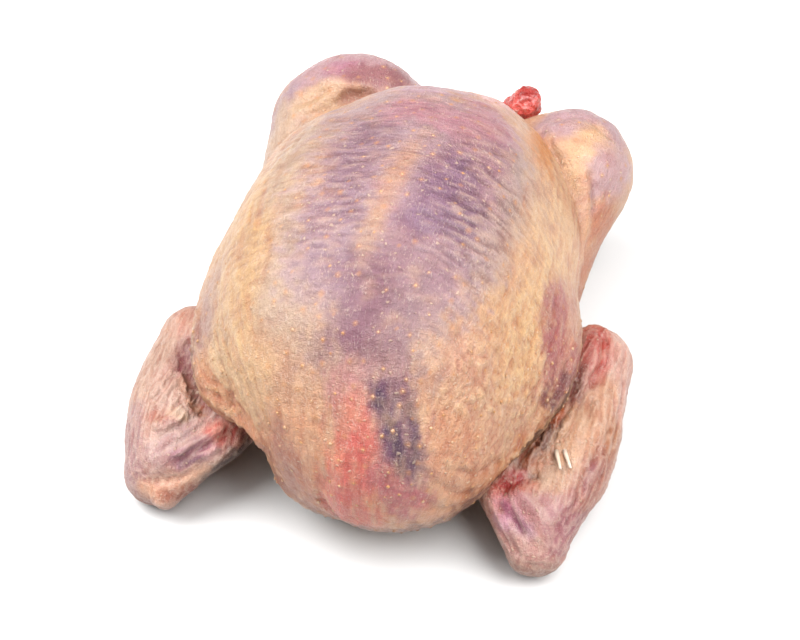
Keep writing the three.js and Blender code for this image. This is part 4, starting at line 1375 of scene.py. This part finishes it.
def nodule_tree():
    """A low dome of fat on each point."""
    tree = Planter("Follicle nodules", [
        ("Radius", "NodeSocketFloat", 0.0005), ("Flatness", "NodeSocketFloat", 0.7),
        ("Seed", "NodeSocketInt", SEED), ("Material", "NodeSocketMaterial", None)])
    dome = tree.node("GeometryNodeMeshUVSphere", None, {
        "Segments": 8, "Rings": 5, "Radius": tree.given("Radius")})
    squash = tree.node("ShaderNodeCombineXYZ", None, {0: 1.0, 1: 1.0, 2: tree.given("Flatness")})
    low = tree.node("GeometryNodeTransform", None, {
        "Geometry": dome.outputs[0], "Scale": squash.outputs[0]})
    return tree.plant(low.outputs[0], tree.mark("size"))


def quill_tree():
    """A tapered stub lying along each point's direction."""
    tree = Planter("Quill stubs", [
        ("Radius", "NodeSocketFloat", 0.0004), ("Length", "NodeSocketFloat", 0.005),
        ("Seed", "NodeSocketInt", SEED), ("Material", "NodeSocketMaterial", None)])
    thin = tree.node("ShaderNodeMath", {"operation": "MULTIPLY"}, {0: tree.given("Radius"), 1: 0.55})
    stub = tree.node("GeometryNodeMeshCone", None, {
        "Vertices": 8, "Side Segments": 3, "Radius Top": thin.outputs[0],
        "Radius Bottom": tree.given("Radius"), "Depth": tree.given("Length")})
    return tree.plant(stub.outputs[0], tree.mark("size"))


def planted(name, points, ups, sizes, tree, values, material):
    """A piece grown by Geometry Nodes from points, and made a plain mesh."""
    seeds = bpy.data.meshes.new(name + " points")
    seeds.from_pydata([tuple(p) for p in to_row(points)], [], [])
    up = seeds.attributes.new("up", "FLOAT_VECTOR", "POINT")
    up.data.foreach_set("vector", np.asarray(ups).ravel())
    size = seeds.attributes.new("size", "FLOAT", "POINT")
    size.data.foreach_set("value", np.asarray(sizes, float))
    holder = new_object(name + " holder", seeds)
    growth = holder.modifiers.new("Growth", "NODES")
    growth.node_group = tree
    named = {item.name: item.identifier for item in tree.interface.items_tree if item.in_out == "INPUT"}
    for label, value in {**values, "Material": material}.items():
        growth[named[label]] = value
    shown = holder.evaluated_get(bpy.context.evaluated_depsgraph_get())
    mesh = bpy.data.meshes.new_from_object(shown)
    mesh.name = name
    bpy.data.objects.remove(holder)
    return new_object(name, mesh)


# ---------------------------------------------------------------------------
# Operators
# ---------------------------------------------------------------------------

# The corners of the box that the skin is looked for in, and how far beyond its bones a wing or a shank
# is looked for.
SKIN_LOW, SKIN_HIGH = (-62, -62, -3), (62, 98, 86)
WING_MARGIN, SHANK_MARGIN = 15, 7

# What the later steps stand on: the body's follicles, and each wing's surface.
SITES = {}


class SQUAB_OT_skin(bpy.types.Operator):
    """Draw the skin over the body and legs, with its folds, rows and follicle bumps"""
    bl_idname = "squab.skin"
    bl_label = "Body and legs"

    def execute(self, context):
        form, colours = context.scene.squab_form, context.scene.squab_colours
        points, faces = wrapped(skin_field, SKIN_LOW, SKIN_HIGH, form.skin_cell / MM)
        surface = Surface(drawn_in(skin_field, points), faces)
        rows, streaks, lumps = body_relief(surface, form)
        density = 0.45 + 0.55 * lower_share(surface.points)
        sites = follicle_sites(surface, form.follicle_gap / MM, density, form.seed)
        rng = np.random.default_rng(form.seed + 1)
        low = lower_share(surface.points[sites])
        radius = rng.uniform(0.7, 1.3, len(sites))
        height = (0.06 + 0.14 * low) * rng.uniform(0.4, 1.4, len(sites))
        relief, share = domes(surface, sites, radius, height)
        surface.raise_by(relief)
        surface.pressed()
        SITES["skin"] = (surface.points[sites], surface.normals[sites], low)
        tint = body_tint(surface, colours.skin, rows, streaks, lumps, surface.hollow(6, 0.5))
        marks = {"follicle": share, "rows": breast_share(surface.points)}
        piece = placed("body_skin", surface, tint, marks)
        finished(piece, skin_material(), "squab")
        print("body skin", len(faces) * 2, "triangles,", len(sites), "follicles")
        return {"FINISHED"}


class SQUAB_OT_wings(bpy.types.Operator):
    """Draw both folded wings, with their web, lip, folds and wrinkles"""
    bl_idname = "squab.wings"
    bl_label = "Wings"

    def execute(self, context):
        form, colours = context.scene.squab_form, context.scene.squab_colours
        looks = {"left": LEFT_WING_PATCHES, "right": RIGHT_WING_PATCHES}
        material = wing_material()
        for side, wing in WINGS.items():
            field = partial(wing_field, wing=wing)
            bones = np.array([wing[joint] for joint in ("shoulder", "elbow", "wrist")])
            low, high = bones.min(0) - WING_MARGIN, bones.max(0) + WING_MARGIN
            low[2] = SKIN_LOW[2]
            points, faces = wrapped(field, low, high, form.wing_cell / MM)
            surface = Surface(drawn_in(field, points), faces)
            strands = wing_relief(surface, wing)
            SITES[side] = surface
            tint = wing_tint(surface, wing, colours.wing, looks[side], strands, surface.hollow(10, 0.7))
            finished(placed(side + "_wing", surface, tint, {}), material)
            print(side, "wing", len(faces) * 2, "triangles")
        return {"FINISHED"}


class SQUAB_OT_shanks(bpy.types.Operator):
    """Draw the cut red ends of both drumsticks"""
    bl_idname = "squab.shanks"
    bl_label = "Cut shanks"

    def execute(self, context):
        form, colours = context.scene.squab_form, context.scene.squab_colours
        material = flesh_material(colours)
        for side, ends in SHANKS.items():
            field = partial(shank_field, ends=ends)
            bones = np.array(ends)
            low, high = bones.min(0) - SHANK_MARGIN, bones.max(0) + SHANK_MARGIN
            points, faces = wrapped(field, low, high, form.shank_cell / MM)
            surface = Surface(drawn_in(field, points), faces)
            surface.raise_by(0.6 * rough(surface.points, 2.6, SEED + 30, 3))
            piece = placed(side + "_shank", surface, np.ones_like(surface.points), {})
            finished(piece, material)
        return {"FINISHED"}


# How much of its width a nodule stands up, how deep it sits, and how many of the follicles hold one.
NODULE_FLATNESS, NODULE_SINK, NODULE_SHARE = 0.42, 0.06, 0.75


class SQUAB_OT_nodules(bpy.types.Operator):
    """Set a small nodule of fat in most follicles"""
    bl_idname = "squab.nodules"
    bl_label = "Follicle nodules"

    def execute(self, context):
        form, colours = context.scene.squab_form, context.scene.squab_colours
        points, ups, low = SITES["skin"]
        rng = np.random.default_rng(form.seed + 2)
        shown = (rng.random(len(points)) < NODULE_SHARE) & (points[:, 2] > 3)
        points, ups, low = points[shown], ups[shown], low[shown]
        sizes = (0.62 + 0.16 * low) * rng.uniform(0.5, 1.35, len(points))
        material = small_material("Follicle fat", tuple(colours.nodule), paint("#e6b47c", DIM), 0.4)
        piece = planted("nodules", points - ups * NODULE_SINK, ups, sizes, nodule_tree(), {
            "Radius": form.nodule_radius, "Flatness": NODULE_FLATNESS, "Seed": form.seed}, material)
        finished(piece, material)
        print("nodules", len(points))
        return {"FINISHED"}


# The quill stubs left in the right wing: which way they lean, and where each one starts, from above.
QUILL_LEAN = row(0.42, -1.0, 0)
QUILL_STARTS = [(41.3, -19.6), (43.2, -18.7)]


class SQUAB_OT_quills(bpy.types.Operator):
    """Lay the pale quill stubs on the right wing"""
    bl_idname = "squab.quills"
    bl_label = "Quill stubs"

    def execute(self, context):
        form, colours = context.scene.squab_form, context.scene.squab_colours
        rng = np.random.default_rng(form.seed + 3)
        surface = SITES["right"]
        points, ups, sizes = [], [], []
        for start in QUILL_STARTS:
            away = np.hypot(*(surface.points[:, :2] - start).T)
            close = np.nonzero(away < 1.0)[0]
            at = close[np.argmax(surface.points[close, 2])]
            normal = surface.normals[at]
            along = QUILL_LEAN + rng.normal(0, 0.06, 3)
            along = along - normal * (along @ normal)
            along = along / np.linalg.norm(along) + 0.08 * normal
            points.append(surface.points[at] + 0.1 * normal)
            ups.append(along / np.linalg.norm(along))
            sizes.append(rng.uniform(0.9, 1.1))
        material = small_material("Quill", tuple(colours.quill), paint("#f3d9bf", PALE_DIM), 0.3)
        piece = planted("quills", points, ups, sizes, quill_tree(), {
            "Radius": form.quill_radius, "Length": form.quill_length, "Seed": form.seed}, material)
        finished(piece, material)
        return {"FINISHED"}


# The point that the camera looks at, and the one that the lamps stand round, both from under the keel.
CAMERA_AIM = 0, 4.725, 30.24
LAMP_AIM = 0, 10, 30


class SQUAB_OT_stage(bpy.types.Operator):
    """Set up the pale floor, the soft lights and the camera"""
    bl_idname = "squab.stage"
    bl_label = "Stage"

    def execute(self, context):
        scene, studio = context.scene, context.scene.squab_studio
        scene.view_settings.view_transform = "Standard"
        add_floor(scene.squab_colours)
        add_lights(studio)
        aim = Vector(to_row(CAMERA_AIM))
        lens = bpy.data.cameras.new("Camera")
        lens.lens = studio.lens
        lens.sensor_width = 36
        lens.clip_start = 0.01
        camera = new_object("Camera", lens)
        around, above = studio.azimuth, studio.elevation
        right = Vector((math.cos(around), math.sin(around), 0))
        back = Vector((
            math.sin(around) * math.cos(above), -math.cos(around) * math.cos(above), math.sin(above)))
        turn = Matrix((right, back.cross(right), back)).transposed().to_4x4()
        camera.matrix_world = Matrix.Translation(aim + back * studio.distance) @ turn
        scene.camera = camera
        return {"FINISHED"}


def add_floor(colours):
    """A square of plain floor, a hair below the bird."""
    half, level = 1.6, float(ORIGIN[2]) - 0.0001
    corners = [(-half, -half, level), (half, -half, level), (half, half, level), (-half, half, level)]
    mesh = bpy.data.meshes.new("floor")
    mesh.from_pydata(corners, [], [(0, 1, 2, 3)])
    floor = new_object("floor", mesh)
    board = Board("Pale floor")
    mesh.materials.append(board.shade({"Base Color": (*colours.floor, 1.0), "Roughness": 0.75}, {}))


def add_lights(studio):
    """A pale room, a large soft lamp on each side and one overhead."""
    scene = bpy.context.scene
    world = bpy.data.worlds.new("Room")
    world.use_nodes = True
    sky = world.node_tree.nodes["Background"]
    sky.inputs["Color"].default_value = (1.0, 0.99, 0.98, 1.0)
    sky.inputs["Strength"].default_value = studio.world
    scene.world = world
    middle = Vector(to_row(LAMP_AIM))
    for name, place, size, power in (
            ("Left lamp", (-0.50, -0.05, 0.65), 0.8, studio.side_power),
            ("Right lamp", (0.50, -0.10, 0.65), 0.8, studio.side_power * 0.9),
            ("Top lamp", (0.0, -0.15, 0.90), 1.0, studio.top_power)):
        lamp = bpy.data.lights.new(name, "AREA")
        lamp.shape = "DISK"
        lamp.size = size
        lamp.energy = power
        light = new_object(name, lamp)
        light.location = middle + Vector(place)
        light.rotation_euler = Vector(place).to_track_quat("Z", "Y").to_euler()


class SQUAB_PT_sidebar(bpy.types.Panel):
    """Lists the steps that build the squab"""
    bl_label = "Raw squab"
    bl_idname = "SQUAB_PT_sidebar"
    bl_space_type = "VIEW_3D"
    bl_region_type = "UI"
    bl_category = "Squab"

    def draw(self, context):
        for group in (context.scene.squab_form, context.scene.squab_colours, context.scene.squab_studio):
            box = self.layout.box()
            for name in group.bl_rna.properties.keys():
                if name not in {"rna_type", "name"}:
                    box.prop(group, name)
        for step in STEPS:
            self.layout.operator(step.bl_idname)


STEPS = (
    SQUAB_OT_skin, SQUAB_OT_wings, SQUAB_OT_shanks, SQUAB_OT_nodules, SQUAB_OT_quills, SQUAB_OT_stage,
)
GROUPS = {"squab_form": SquabForm, "squab_colours": SquabColours, "squab_studio": SquabStudio}


def register():
    for name, group in GROUPS.items():
        bpy.utils.register_class(group)
        setattr(bpy.types.Scene, name, PointerProperty(type=group))
    for thing in (*STEPS, SQUAB_PT_sidebar):
        bpy.utils.register_class(thing)


def unregister():
    for thing in (SQUAB_PT_sidebar, *reversed(STEPS)):
        bpy.utils.unregister_class(thing)
    for name, group in reversed(GROUPS.items()):
        delattr(bpy.types.Scene, name)
        bpy.utils.unregister_class(group)


def main():
    register()
    bpy.ops.squab.stage()
    bpy.ops.squab.skin()
    bpy.ops.squab.wings()
    bpy.ops.squab.shanks()
    bpy.ops.squab.nodules()
    bpy.ops.squab.quills()


if __name__ == "__main__":
    main()
